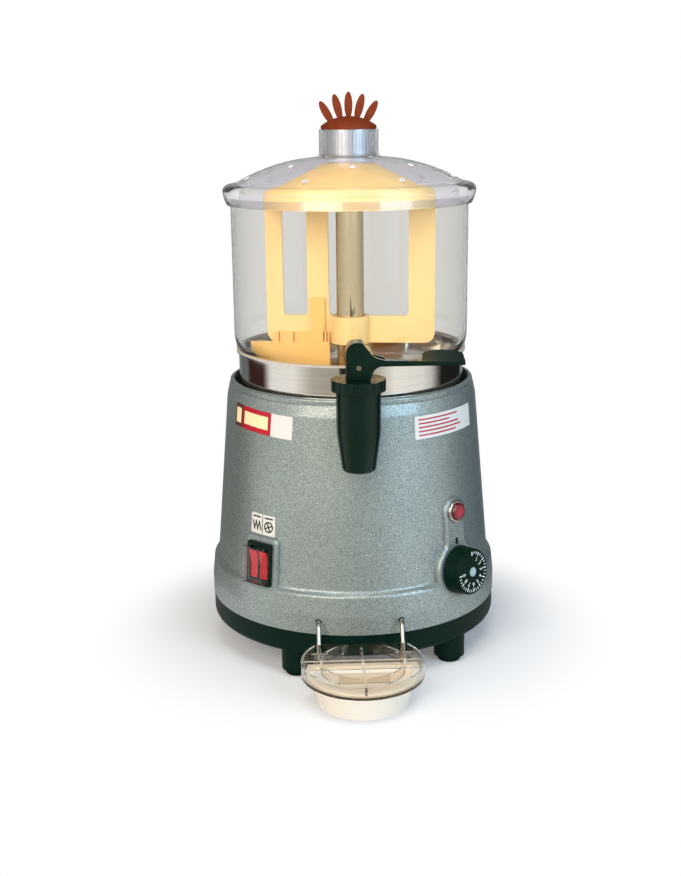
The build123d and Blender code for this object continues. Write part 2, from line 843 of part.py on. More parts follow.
def rocker_shape(side):
    """Draws one rocker in the open part, tipped to its rest; side is -1 on the left and 1 on the right."""
    with BuildSketch(pivot_side.offset(side * rocker_centre)) as outline:
        Polygon(
            (-rocker_length / 2, rocker_lip),
            (-rocker_foot_length / 2, -rocker_foot),
            (rocker_foot_length / 2, -rocker_foot),
            (rocker_length / 2, rocker_lip),
            (0, rocker_dip),
            rotation=rocker_tilt,
            align=None,
        )
    extrude(outline.sketch, amount=rocker_width / 2, both=True)
    with BuildSketch(pivot_side.offset(side * rocker_centre)) as trunnion:
        Circle(trunnion_radius)
    extrude(trunnion.sketch, amount=rocker_width / 2 + seat_gap + trunnion_grip, both=True)


with BuildPart() as rocker_left:
    rocker_shape(-1)
rocker_left.part.label = "rocker_left"
export_step(rocker_left.part, "parts/rocker_left.step")

with BuildPart() as rocker_right:
    rocker_shape(1)
rocker_right.part.label = "rocker_right"
export_step(rocker_right.part, "parts/rocker_right.step")

cover_width = well_width + 2 * (cover_wall + cover_room)
cover_length = well_height + 2 * (cover_wall + cover_room)
with BuildPart() as switch_cover:
    with BuildSketch(switch_plane.offset(bezel_thickness)):
        RectangleRounded(cover_width, cover_length, bezel_border)
    extrude(amount=cover_height)
    cover_face = switch_cover.faces().sort_by(Axis(switch_plane.origin, switch_plane.z_dir))[-1]
    fillet(cover_face.edges(), cover_round)
    with BuildSketch(switch_plane.offset(bezel_thickness)):
        Rectangle(cover_width - 2 * cover_wall, cover_length - 2 * cover_wall)
    extrude(amount=cover_height - cover_wall, mode=Mode.SUBTRACT)
switch_cover.part.label = "switch_cover"
export_step(switch_cover.part, "parts/switch_cover.step")

# Gear motor on a bent bracket that stands on the base's floor
with BuildPart() as motor_bracket:
    leg_length = bracket_top - floor_top
    with Locations((0, 0, bracket_top)):
        Box(bracket_width, bracket_length, bracket_sheet, align=(Align.CENTER, Align.CENTER, Align.MAX))
    with GridLocations(bracket_width - bracket_sheet, 1, 2, 1):
        with Locations((0, 0, floor_top)):
            Box(bracket_sheet, bracket_length, leg_length, align=(Align.CENTER, Align.CENTER, Align.MIN))
    with GridLocations(bracket_width + bracket_foot, 1, 2, 1):
        with Locations((0, 0, floor_top)):
            Box(
                bracket_foot + bracket_sheet,
                bracket_length,
                bracket_sheet,
                align=(Align.CENTER, Align.CENTER, Align.MIN),
            )
    with BuildSketch(Plane.XY.offset(floor_top)):
        with GridLocations(bracket_width + bracket_foot, bracket_length - bracket_foot, 2, 2):
            Circle(screw_radius + running_gap)
    extrude(amount=bracket_sheet, mode=Mode.SUBTRACT)
    with BuildSketch(Plane.XY.offset(bracket_top)):
        with GridLocations(gear_case_width - bracket_foot, bracket_length - bracket_foot, 2, 2):
            Circle(screw_radius + running_gap)
    extrude(amount=-bracket_sheet, mode=Mode.SUBTRACT)
motor_bracket.part.label = "motor_bracket"
export_step(motor_bracket.part, "parts/motor_bracket.step")

with BuildPart() as bracket_screws:
    with BuildSketch(Plane.XY.offset(floor_top + bracket_sheet)):
        with GridLocations(bracket_width + bracket_foot, bracket_length - bracket_foot, 2, 2):
            Circle(screw_head_radius)
    extrude(amount=screw_head_height)
    with BuildSketch(Plane.XY.offset(floor_top + bracket_sheet)):
        with GridLocations(bracket_width + bracket_foot, bracket_length - bracket_foot, 2, 2):
            Circle(screw_radius)
    extrude(amount=-bracket_sheet - base_floor)
bracket_screws.part.label = "bracket_screws"
export_step(bracket_screws.part, "parts/bracket_screws.step")

gear_case_shift = gear_case_length / 2 - gear_case_width / 2
with BuildPart() as gear_motor:
    with BuildSketch(Plane.XY.offset(bracket_top)):
        with Locations((0, gear_case_shift)):
            RectangleRounded(gear_case_width, gear_case_length, gear_case_corner)
    extrude(amount=gear_case_height)
    with BuildSketch(Plane.XY.offset(gear_top)):
        with Locations((0, motor_offset)):
            Circle(motor_radius)
    extrude(amount=motor_height)
    with BuildSketch(Plane.XY.offset(gear_top)):
        Circle(shaft_radius + running_gap)
    extrude(amount=-output_depth, mode=Mode.SUBTRACT)
    with BuildSketch(Plane.XY.offset(bracket_top)):
        with GridLocations(gear_case_width - bracket_foot, bracket_length - bracket_foot, 2, 2):
            Circle(screw_radius + running_gap)
    extrude(amount=screw_length, mode=Mode.SUBTRACT)
gear_motor.part.label = "gear_motor"
export_step(gear_motor.part, "parts/gear_motor.step")

with BuildPart() as motor_screws:
    with BuildSketch(Plane.XY.offset(bracket_top - bracket_sheet)):
        with GridLocations(gear_case_width - bracket_foot, bracket_length - bracket_foot, 2, 2):
            Circle(screw_head_radius)
    extrude(amount=-screw_head_height)
    with BuildSketch(Plane.XY.offset(bracket_top - bracket_sheet)):
        with GridLocations(gear_case_width - bracket_foot, bracket_length - bracket_foot, 2, 2):
            Circle(screw_radius)
    extrude(amount=screw_length)
motor_screws.part.label = "motor_screws"
export_step(motor_screws.part, "parts/motor_screws.step")

# Drive line: the gearbox's output stub, a coupling, and the long shaft up inside the pan's tube
shaft_joint = (gear_top + tank_floor) / 2 - motor_room
with BuildPart() as output_shaft:
    with BuildSketch(Plane.XY.offset(gear_top - output_depth + seat_gap)):
        Circle(shaft_radius)
    extrude(amount=shaft_joint - gear_top + output_depth - seat_gap)
output_shaft.part.label = "output_shaft"
export_step(output_shaft.part, "parts/output_shaft.step")

with BuildPart() as shaft_coupling:
    with BuildSketch(Plane.XY.offset(shaft_joint)):
        Circle(coupling_radius)
        Circle(shaft_radius + touch_gap, mode=Mode.SUBTRACT)
    extrude(amount=coupling_length / 2, both=True)
shaft_coupling.part.label = "shaft_coupling"
export_step(shaft_coupling.part, "parts/shaft_coupling.step")

shaft_top = cone_top - mixer_wall - seat_gap
with BuildPart() as drive_shaft:
    with BuildSketch(Plane.XY.offset(shaft_joint)):
        Circle(shaft_radius)
    extrude(amount=shaft_top - shaft_hex_length - shaft_joint)
    with BuildSketch(Plane.XY.offset(shaft_top - shaft_hex_length)):
        RegularPolygon(shaft_hex, hex_sides, rotation=mixer_turn)
    extrude(amount=shaft_hex_length)
drive_shaft.part.label = "drive_shaft"
export_step(drive_shaft.part, "parts/drive_shaft.step")

with BuildPart() as shaft_bushes:
    for level in (tank_floor, pan_bottom + standpipe_rise - bush_length):
        with BuildSketch(Plane.XY.offset(level)):
            Circle(standpipe_bore - touch_gap)
            Circle(shaft_radius + running_gap, mode=Mode.SUBTRACT)
        extrude(amount=bush_length)
shaft_bushes.part.label = "shaft_bushes"
export_step(shaft_bushes.part, "parts/shaft_bushes.step")

# Wiring: a terminal block on the floor and the gland where a mains lead would come in
with BuildPart() as terminal_block:
    with Locations((0, terminal_reach, floor_top)):
        Box(
            terminal_width,
            terminal_length,
            terminal_height,
            align=(Align.CENTER, Align.CENTER, Align.MIN),
        )
    with BuildSketch(Plane.XY.offset(floor_top + terminal_height)):
        with Locations((0, terminal_reach)):
            with GridLocations(terminal_width / terminal_ways, terminal_length / 2, terminal_ways, 2):
                Circle(screw_radius)
    extrude(amount=-terminal_height / 2, mode=Mode.SUBTRACT)
terminal_block.part.label = "terminal_block"
export_step(terminal_block.part, "parts/terminal_block.step")

gland_tail = shell_wall + band_taper + gland_nut
with BuildPart() as cable_gland:
    with BuildSketch(gland_plane.offset(touch_gap)):
        RegularPolygon(gland_radius, hex_sides)
    extrude(amount=gland_stand)
    with BuildSketch(gland_plane.offset(gland_stand)):
        Circle(gland_cap_radius)
    extrude(amount=gland_cap, taper=gland_draft)
    with BuildSketch(gland_plane.offset(gland_stand)):
        Circle(gland_barrel)
    extrude(amount=-gland_stand - gland_tail)
    with BuildSketch(gland_plane.offset(-shell_wall - band_taper)):
        RegularPolygon(gland_radius, hex_sides)
    extrude(amount=-gland_nut)
    with BuildSketch(gland_plane.offset(gland_stand + gland_cap)):
        Circle(gland_bore)
    extrude(amount=-gland_stand - gland_cap - gland_tail, mode=Mode.SUBTRACT)
cable_gland.part.label = "cable_gland"
export_step(cable_gland.part, "parts/cable_gland.step")

# Steel pan with the middle tube and the outlet pipe that the tap pushes onto
pipe_end = tap_axis - tap_bore - tap_wall / 2
with BuildPart() as pan:
    pan_profile = [
        ((tube_radius - tube_wall, pan_bottom), 0),
        ((pan_radius, pan_bottom), pan_corner),
        ((pan_radius, pan_rim - pan_wall), 0),
        ((pan_radius + pan_flange, pan_rim - pan_wall), 0),
        ((pan_radius + pan_flange, pan_rim), 0),
        ((pan_radius - pan_wall, pan_rim), 0),
        ((pan_radius - pan_wall, pan_floor), pan_corner - pan_wall),
        ((tube_radius, pan_floor), 0),
        ((tube_radius, tube_top), 0),
        ((tube_radius - tube_wall, tube_top), 0),
    ]
    with BuildSketch(Plane.XZ):
        with BuildLine():
            FilletPolyline(*[p for p, r in pan_profile], radius=[r for p, r in pan_profile], close=True)
        make_face()
    revolve(axis=Axis.Z)
    with BuildSketch(Plane.XZ.offset(pan_radius - pan_wall)):
        with Locations((0, outlet_height)):
            Circle(pipe_radius)
    extrude(amount=pipe_end - pan_radius + pan_wall)
    with BuildSketch(Plane.XZ.offset(pan_radius - 4 * pan_wall)):
        with Locations((0, outlet_height)):
            Circle(pipe_radius - pipe_wall)
    extrude(amount=pipe_end - pan_radius + 4 * pan_wall, mode=Mode.SUBTRACT)
pan.part.label = "pan"
export_step(pan.part, "parts/pan.step")

with BuildPart() as bowl_seal:
    with BuildSketch(Plane.XY.offset(pan_rim)):
        Circle(pan_radius + pan_flange)
        Circle(spigot_radius + seat_gap, mode=Mode.SUBTRACT)
    extrude(amount=seal_thickness)
bowl_seal.part.label = "bowl_seal"
export_step(bowl_seal.part, "parts/bowl_seal.step")


def corner_middle(low, high):
    """Middle point of the round corner that runs out from low and ends upright at high."""
    out = high[0] - low[0]
    up = high[1] - low[1]
    arc = (out**2 + up**2) / (2 * out)
    half = 0.5 * atan(up / (arc - out))
    return (high[0] - arc + arc * cos(half), high[1] - arc * sin(half))


# Clear bowl: an upright wall, a rounded lower corner and a spigot that plugs into the pan
outer_low = (pan_radius + bowl_seat, bowl_bottom)
outer_high = (bowl_radius, bowl_bottom + bowl_corner)
inner_low = (spigot_radius - bowl_wall, bowl_bottom)
inner_high = (bowl_radius - bowl_wall, bowl_bottom + bowl_corner)
with BuildPart() as bowl:
    with BuildSketch(Plane.XZ):
        with BuildLine():
            Polyline(
                inner_low,
                (spigot_radius - bowl_wall, bowl_bottom - spigot_depth),
                (spigot_radius, bowl_bottom - spigot_depth),
                (spigot_radius, bowl_bottom),
                outer_low,
            )
            ThreePointArc(outer_low, corner_middle(outer_low, outer_high), outer_high)
            Polyline(
                outer_high,
                (bowl_radius, bowl_top),
                (bowl_radius - bowl_wall, bowl_top),
                inner_high,
            )
            ThreePointArc(inner_high, corner_middle(inner_low, inner_high), inner_low)
        make_face()
    revolve(axis=Axis.Z)
bowl.part.label = "bowl"
export_step(bowl.part, "parts/bowl.step")

# Mixer: conical cap and skirt, a flat frame with two windows, a collar round the tube and a driving hub
left_window = (-skirt_radius + left_blade, -stem_blade_inner - stem_blade_width)
right_window = (-stem_blade_inner, skirt_radius - right_blade)
stem_middle = -stem_blade_inner - stem_blade_width / 2
guide_level = bar_top + guide_head_radius + seat_gap
with BuildPart() as mixer:
    with BuildSketch(Plane.XZ):
        with BuildLine():
            Polyline(
                (0, cone_top),
                (cone_tip_radius, cone_top),
                (skirt_radius, skirt_top),
                (skirt_radius, skirt_bottom),
                (skirt_radius - mixer_wall, skirt_bottom),
                (skirt_radius - mixer_wall, skirt_top - mixer_wall / 2),
                (cone_tip_radius, cone_top - mixer_wall),
                (0, cone_top - mixer_wall),
                close=True,
            )
        make_face()
    revolve(axis=Axis.Z)
    with BuildSketch(mixer_plane):
        with BuildLine():
            FilletPolyline(
                (-skirt_radius, blade_bottom),
                (skirt_radius, blade_bottom),
                (skirt_radius, skirt_top),
                (cone_tip_radius, cone_top - mixer_wall / 2),
                (-cone_tip_radius, cone_top - mixer_wall / 2),
                (-skirt_radius, skirt_top),
                radius=[blade_corner, blade_corner, 0, 0, 0, 0],
                close=True,
            )
        make_face()
        for low, high in (left_window, right_window):
            with Locations(((low + high) / 2, (bar_top + skirt_bottom) / 2)):
                RectangleRounded(high - low, skirt_bottom - bar_top, window_corner, mode=Mode.SUBTRACT)
        with Locations((stem_middle, guide_level + scraper_float / 2)):
            SlotOverall(
                scraper_float + 2 * guide_pin_radius + 4 * seat_gap,
                2 * guide_pin_radius + 2 * seat_gap,
                rotation=90,
                mode=Mode.SUBTRACT,
            )
    extrude(amount=blade_thickness / 2, both=True)
    with BuildSketch(Plane.XY.offset(blade_bottom)):
        Circle(collar_radius)
    extrude(amount=bar_height)
    with BuildSketch(Plane.XY.offset(blade_bottom)):
        Circle(tube_radius + tube_clearance)
    extrude(amount=hub_bottom - blade_bottom, mode=Mode.SUBTRACT)
    with BuildSketch(Plane.XY.offset(hub_bottom)):
        Circle(hub_radius)
    extrude(amount=cone_top - mixer_wall / 2 - hub_bottom)
    with BuildSketch(Plane.XY.offset(hub_bottom)):
        RegularPolygon(shaft_hex + seat_gap, hex_sides, rotation=mixer_turn)
    extrude(amount=shaft_top + seat_gap - hub_bottom, mode=Mode.SUBTRACT)
mixer.part.label = "mixer"
export_step(mixer.part, "parts/mixer.step")

# Scraper: a notched blade that reaches down to the pan's floor, held to the frame by a headed pin in a slot
scraper_right = -collar_radius - scraper_gap
scraper_left = scraper_right - scraper_width
scraper_low = pan_floor + seat_gap
scraper_high = scraper_low + scraper_height
scraper_plane = mixer_plane.offset(blade_thickness / 2 + seat_gap)
tab_top = guide_level + guide_head_radius + scraper_tab_rise
with BuildPart() as scraper:
    with BuildSketch(scraper_plane):
        with BuildLine():
            FilletPolyline(
                (scraper_left - scraper_toe, scraper_low),
                (scraper_right, scraper_low),
                (scraper_right, scraper_high),
                (stem_middle + scraper_tab_width / 2, scraper_high),
                (stem_middle + scraper_tab_width / 2, tab_top),
                (stem_middle - scraper_tab_width / 2, tab_top),
                (stem_middle - scraper_tab_width / 2, scraper_high),
                (scraper_left, scraper_high),
                (scraper_left, scraper_low + scraper_toe_height),
                (scraper_left - scraper_toe, scraper_low + scraper_toe_height),
                radius=scraper_round,
                close=True,
            )
        make_face()
        for share in scraper_notches:
            with Locations((scraper_left + scraper_width * share, scraper_high - scraper_notch_depth / 2)):
                Rectangle(scraper_notch_width, scraper_notch_depth, mode=Mode.SUBTRACT)
    extrude(amount=scraper_thickness)
    with BuildSketch(scraper_plane):
        with Locations((stem_middle, guide_level)):
            Circle(guide_pin_radius)
    extrude(amount=-2 * seat_gap - blade_thickness)
    with BuildSketch(scraper_plane.offset(-2 * seat_gap - blade_thickness)):
        with Locations((stem_middle, guide_level)):
            Circle(guide_head_radius)
    extrude(amount=-scraper_thickness / 2)
scraper.part.label = "scraper"
export_step(scraper.part, "parts/scraper.step")

# Clear lid: a rolled lip over the bowl's rim, a dome with vents and a ribbed neck
channel_outer = bowl_radius + lid_play
channel_inner = bowl_radius - bowl_wall - lid_play
channel_roof = bowl_top + seat_gap
lip_radius = channel_outer + lid_lip
lip_level = bowl_top + lid_lip_height / 2
dome_edge = (channel_inner - lid_wall / 2, bowl_top + lid_lip_height + 1)
dome_foot = (neck_radius + neck_foot, neck_bottom)
under_edge = (dome_edge[0] - lid_wall, dome_edge[1] - lid_wall)
under_foot = (neck_radius - lid_wall - sleeve_wall - touch_gap, neck_bottom - lid_wall)


def dome_middle(edge, foot):
    """Point halfway along the dome, raised off the straight line by the dome's bulge."""
    return ((edge[0] + foot[0]) / 2 + lid_bulge / 4, (edge[1] + foot[1]) / 2 + lid_bulge)


with BuildPart() as lid:
    with BuildSketch(Plane.XZ):
        with BuildLine():
            Polyline(
                (neck_radius, neck_bottom + neck_foot),
                (neck_radius, neck_top),
                (neck_radius - lid_wall, neck_top),
                (neck_radius - lid_wall, neck_bottom),
                (under_foot[0], neck_bottom),
                under_foot,
            )
            ThreePointArc(under_foot, dome_middle(under_edge, under_foot), under_edge)
            Polyline(
                under_edge,
                (channel_inner - lid_wall, channel_roof - lid_guide),
                (channel_inner, channel_roof - lid_guide),
                (channel_inner, channel_roof),
                (channel_outer, channel_roof),
                (channel_outer, bowl_top - lid_drop),
                (channel_outer + lid_wall, bowl_top - lid_drop),
            )
            ThreePointArc(
                (channel_outer + lid_wall, bowl_top - lid_drop),
                (lip_radius - lid_lip / 6, (bowl_top - lid_drop + lip_level) / 2),
                (lip_radius, lip_level),
            )
            ThreePointArc(
                (lip_radius, lip_level),
                (lip_radius - lid_lip / 3, lip_level + lid_lip_height / 3),
                (channel_outer, bowl_top + lid_lip_height),
            )
            Line((channel_outer, bowl_top + lid_lip_height), dome_edge)
            ThreePointArc(dome_edge, dome_middle(dome_edge, dome_foot), dome_foot)
            Line(dome_foot, (neck_radius, neck_bottom + neck_foot))
        make_face()
    revolve(axis=Axis.Z)
    with BuildSketch(Plane.XY.offset(neck_bottom + 2 * neck_foot)):
        with PolarLocations(neck_radius, neck_rib_count):
            Circle(neck_rib)
    extrude(amount=neck_height - 3 * neck_foot, mode=Mode.SUBTRACT)
    with BuildSketch(Plane.XY.offset(bowl_top)):
        with PolarLocations(vent_outer_circle, vent_count, start_angle=-90 - 180 / vent_count):
            Circle(vent_radius)
        with PolarLocations(vent_inner_circle, vent_count, start_angle=-90):
            Circle(vent_radius)
    extrude(amount=lid_rise, mode=Mode.SUBTRACT)
lid.part.label = "lid"
export_step(lid.part, "parts/lid.step")

with BuildPart() as neck_sleeve:
    sleeve_radius = neck_radius - lid_wall - touch_gap
    with BuildSketch(Plane.XY.offset(neck_bottom)):
        Circle(sleeve_radius)
        Circle(sleeve_radius - sleeve_wall, mode=Mode.SUBTRACT)
    extrude(amount=neck_height)
neck_sleeve.part.label = "neck_sleeve"
export_step(neck_sleeve.part, "parts/neck_sleeve.step")

# Brown cap: a plug in the sleeve, a domed top and an upright fan of plain petals
cap_radius = neck_radius - cap_flange
dome_radius = (cap_radius**2 + cap_dome**2) / (2 * cap_dome)
with BuildPart() as knob_cap:
    with BuildSketch(Plane.XZ):
        with BuildLine():
            Polyline(
                (0, neck_top + cap_edge + cap_dome),
                (0, neck_top - cap_plug),
                (sleeve_radius - sleeve_wall - touch_gap, neck_top - cap_plug),
                (sleeve_radius - sleeve_wall - touch_gap, neck_top),
                (cap_radius, neck_top),
                (cap_radius, neck_top + cap_edge),
            )
            RadiusArc((cap_radius, neck_top + cap_edge), (0, neck_top + cap_edge + cap_dome), -dome_radius)
        make_face()
    revolve(axis=Axis.Z)
    with BuildSketch(Plane.XZ):
        for index in range(petal_count):
            place = index - (petal_count - 1) / 2
            tilt = place * 2 * petal_spread / (petal_count - 1)
            sink = cap_dome * (abs(place) * petal_step / cap_radius) ** 2
            height = neck_top + cap_edge + cap_dome - sink + petal_rise * cos(radians(tilt))
            with Locations((place * petal_step, height)):
                Ellipse(petal_width, petal_length, rotation=-tilt)
    extrude(amount=petal_thickness / 2, both=True)
knob_cap.part.label = "knob_cap"
export_step(knob_cap.part, "parts/knob_cap.step")

# Tap body: a drafted barrel with a bore, a seat at its foot and a socket for the pan's pipe
neck_outside = tap_radius - tap_neck
with BuildPart() as tap_body:
    with BuildSketch(Plane.XZ.offset(tap_axis)):
        with BuildLine():
            FilletPolyline(
                (0, tap_bottom),
                (tap_tip_radius, tap_bottom),
                (tap_radius, tap_bottom + tap_taper),
                (tap_radius, nut_bottom),
                (neck_outside, nut_bottom),
                (neck_outside, tap_top),
                (0, tap_top),
                radius=[0, tap_tip_round, tap_shoulder_round, 0, 0, 0, 0],
                close=True,
            )
        make_face()
    revolve(axis=tap_line)
    with BuildSketch(Plane.XZ.offset(tap_axis)):
        with Locations((0, outlet_height)):
            Circle(socket_radius)
    extrude(amount=-tap_radius - socket_length)
    with BuildSketch(Plane.XY.offset(nut_bottom)):
        with Locations((0, -tap_axis + tap_radius + socket_length)):
            Rectangle(2 * socket_radius, 2 * socket_length + 2 * tap_neck + 2)
    extrude(amount=socket_radius, mode=Mode.SUBTRACT)
    with BuildSketch(Plane.XZ.offset(tap_axis)):
        with BuildLine():
            Polyline(
                (0, tap_bottom),
                (tap_outlet, tap_bottom),
                (tap_outlet, tap_bottom + tap_seat),
                (tap_bore, tap_bottom + tap_seat + tap_bore - tap_outlet),
                (tap_bore, tap_top),
                (0, tap_top),
                close=True,
            )
        make_face()
    revolve(axis=tap_line, mode=Mode.SUBTRACT)
    with BuildSketch(Plane.XZ.offset(tap_axis)):
        with Locations((0, outlet_height)):
            Circle(pipe_radius - pipe_wall)
    extrude(amount=-tap_radius - socket_length, mode=Mode.SUBTRACT)
    with BuildSketch(Plane.XZ.offset(pipe_end)):
        with Locations((0, outlet_height)):
            Circle(pipe_radius + touch_gap)
    extrude(amount=-tap_wall - socket_length, mode=Mode.SUBTRACT)
    # Groove for the pipe's seal
    with BuildSketch(Plane.XZ.offset(pipe_end - tap_wall / 2)):
        with Locations((0, outlet_height)):
            Circle(pipe_radius + 2 * oring_section + touch_gap)
    extrude(amount=-2 * oring_section - 2 * touch_gap, mode=Mode.SUBTRACT)
tap_body.part.label = "tap_body"
export_step(tap_body.part, "parts/tap_body.step")

with BuildPart() as tap_oring:
    seal_y = -pipe_end + tap_wall / 2 + oring_section + touch_gap
    with BuildSketch(Plane((0, seal_y, 0), x_dir=(1, 0, 0), z_dir=(0, 0, 1))):
        with Locations((pipe_radius + oring_section + touch_gap / 2, 0)):
            Circle(oring_section - touch_gap / 4)
    revolve(axis=Axis((0, seal_y, 0), (0, 1, 0)))
    tap_oring.part.position = (0, 0, outlet_height)
tap_oring.part.label = "tap_oring"
export_step(tap_oring.part, "parts/tap_oring.step")

# Knurled collar nut that closes the tap
with BuildPart() as tap_nut:
    with BuildSketch(Plane.XY.offset(nut_bottom)):
        with Locations((0, -tap_axis)):
            Circle(nut_radius)
            with PolarLocations(nut_radius + nut_tooth / 2, nut_teeth):
                Circle(nut_tooth, mode=Mode.SUBTRACT)
    extrude(amount=nut_top - nut_bottom)
    with BuildSketch(Plane.XY.offset(nut_bottom)):
        with Locations((0, -tap_axis)):
            Circle(neck_outside + running_gap)
    extrude(amount=nut_ceiling - nut_bottom, mode=Mode.SUBTRACT)
    with BuildSketch(Plane.XY.offset(nut_ceiling)):
        with Locations((0, -tap_axis)):
            Circle(stem_radius + seat_gap)
    extrude(amount=nut_roof, mode=Mode.SUBTRACT)
tap_nut.part.label = "tap_nut"
export_step(tap_nut.part, "parts/tap_nut.step")

# Piston: a hollow plug that covers the pipe's mouth, with a stem up through the nut to the lever's pin
piston_radius = tap_bore - running_gap
piston_bottom = outlet_height - pipe_radius - piston_cover
piston_top = nut_ceiling - piston_lift - 2 * seat_gap
piston_floor = piston_bottom + piston_wall + 1
groove_levels = (piston_bottom + piston_wall, piston_top - piston_wall / 2)
with BuildPart() as tap_piston:
    with BuildSketch(Plane.XZ.offset(tap_axis)):
        with BuildLine():
            Polyline(
                (0, piston_bottom),
                (piston_radius, piston_bottom),
                (piston_radius, piston_top),
                (piston_radius - piston_wall, piston_top),
                (piston_radius - piston_wall, piston_floor),
                (stem_radius, piston_floor),
                (stem_radius, pivot_height + stem_top),
                (0, pivot_height + stem_top),
                close=True,
            )
        make_face()
        for level in groove_levels:
            with Locations((tap_bore, level)):
                Rectangle(4 * oring_section + 2 * running_gap, 2 * oring_section, mode=Mode.SUBTRACT)
    revolve(axis=tap_line)
    with BuildSketch(Plane.XZ.offset(tap_axis)):
        with Locations((0, pivot_height)):
            Circle(lever_pin_radius + touch_gap)
    extrude(amount=2 * stem_radius, both=True, mode=Mode.SUBTRACT)
tap_piston.part.label = "tap_piston"
export_step(tap_piston.part, "parts/tap_piston.step")

with BuildPart() as piston_orings:
    with BuildSketch(Plane.XZ.offset(tap_axis)):
        with Locations(*[(tap_bore - running_gap / 2 - oring_section, level) for level in groove_levels]):
            Circle(oring_section - touch_gap)
    revolve(axis=tap_line)
piston_orings.part.label = "piston_orings"
export_step(piston_orings.part, "parts/piston_orings.step")

# The return spring's envelope, between the piston's floor and the nut
with BuildPart() as tap_spring:
    with BuildSketch(Plane.XY.offset(piston_floor)):
        with Locations((0, -tap_axis)):
            Circle(stem_radius + seat_gap + spring_wire)
            Circle(stem_radius + seat_gap, mode=Mode.SUBTRACT)
    extrude(amount=nut_ceiling - piston_floor - seat_gap)
tap_spring.part.label = "tap_spring"
export_step(tap_spring.part, "parts/tap_spring.step")

# Lever: a forked hub with a raised border and boss, a thin arm to the right and a thumb paddle
lever_front = tap_axis + lever_thickness / 2
lever_plane = Plane(origin=(0, -lever_front, pivot_height), x_dir=(1, 0, 0), z_dir=(0, -1, 0))


def lever_outline(reach):
    """Side view of the lever about its pin, drawn in the open sketch, with the arm cut off at reach."""
    with BuildLine() as side:
        FilletPolyline(
            (lever_right, -lever_height),
            (-lever_left, -lever_height),
            (-lever_left, lever_crown),
            (lever_nose, lever_crown),
            (lever_throat, lever_throat_height),
            (lever_root, lever_arm_top + lever_flare),
            (reach, lever_arm_top),
            (reach, lever_arm_bottom),
            (lever_under, lever_arm_bottom),
            radius=[0, 0, lever_round, lever_nose, lever_throat, lever_round, 0, 0, lever_round],
            close=True,
        )
    make_face(side.edges())


with BuildPart() as tap_lever:
    with BuildSketch(lever_plane):
        lever_outline(lever_length)
    extrude(amount=-lever_arm_thickness)
    with BuildSketch(lever_plane):
        lever_outline(lever_root + lever_flare)
    extrude(amount=-lever_thickness)
    # Sunk face that leaves a raised border, with a boss about the pin
    with BuildSketch(lever_plane):
        with BuildLine():
            FilletPolyline(
                (-lever_left + lever_border, -lever_height),
                (-lever_left + lever_border, lever_crown - lever_border),
                (lever_nose, lever_crown - lever_border),
                (lever_right - lever_border, -lever_height),
                radius=[0, lever_round - lever_border, lever_nose, 0],
                close=True,
            )
        make_face()
        Circle(lever_boss, mode=Mode.SUBTRACT)
    extrude(amount=-lever_face_depth, mode=Mode.SUBTRACT)
    # Slot for the piston's stem, open below and on the left
    with Locations((0, -tap_axis, pivot_height - lever_height)):
        Box(
            2 * lever_root,
            2 * stem_radius + 2 * seat_gap,
            lever_height + stem_top + lever_slot_room,
            align=(Align.CENTER, Align.CENTER, Align.MIN),
            mode=Mode.SUBTRACT,
        )
    with BuildSketch(lever_plane):
        Circle(lever_pin_radius + running_gap)
    extrude(amount=-lever_thickness, mode=Mode.SUBTRACT)
    paddle_place = (lever_length - paddle_length / 2, -lever_front, pivot_height + lever_arm_bottom)
    with BuildSketch(Plane(origin=paddle_place).rotated((paddle_tilt, 0, 0))):
        with Locations((0, paddle_width / 2)):
            RectangleRounded(paddle_length, paddle_width, paddle_corner)
        with Locations((0, lever_arm_thickness / 2)):
            RectangleRounded(paddle_length, lever_arm_thickness, paddle_edge)
    extrude(amount=paddle_thickness)
tap_lever.part.label = "tap_lever"
export_step(tap_lever.part, "parts/tap_lever.step")

with BuildPart() as lever_pin:
    with BuildSketch(lever_plane.offset(seat_gap)):
        Circle(lever_pin_radius)
    extrude(amount=-lever_thickness - 2 * seat_gap)
lever_pin.part.label = "lever_pin"
export_step(lever_pin.part, "parts/lever_pin.step")

# Bent wire, sprung into two holes in the housing, with a hook at each end that carries the drip tray
web_level = tray_bottom + tray_ledge
hook_low = web_level - seat_gap - hook_wire
hook_back = tray_back + tray_wall + hook_wire + hook_clearance
hook_side = hook_spread / 2
hook_rest = hook_back + hook_throat
right_run = [
    (hook_side, -hook_rest, hook_low + hook_tip),
    (hook_side, -hook_rest, hook_low),
    (hook_side, -hook_back, hook_low),
    (hook_side, -hook_back, tray_bottom + tray_height + hook_wire),
    (hook_side, -band_radius - 1, hook_height),
    (hook_side, -band_radius + hook_inside, hook_height),
]
left_run = [(-x, y, z) for x, y, z in reversed(right_run)]
with BuildPart() as tray_hook:
    with BuildLine() as bent_wire:
        FilletPolyline(*right_run, *left_run, radius=hook_bend)
    with BuildSketch(Plane(origin=bent_wire.line @ 0, z_dir=bent_wire.line % 0)):
        Circle(hook_wire)
    sweep()
tray_hook.part.label = "tray_hook"
export_step(tray_hook.part, "parts/tray_hook.step")


def cut_circle(radius, chord):
    """A circle with its back cut off straight, drawn in the open sketch."""
    Circle(radius)
    with Locations((0, chord + radius)):
        Rectangle(2 * radius, 2 * radius, mode=Mode.SUBTRACT)


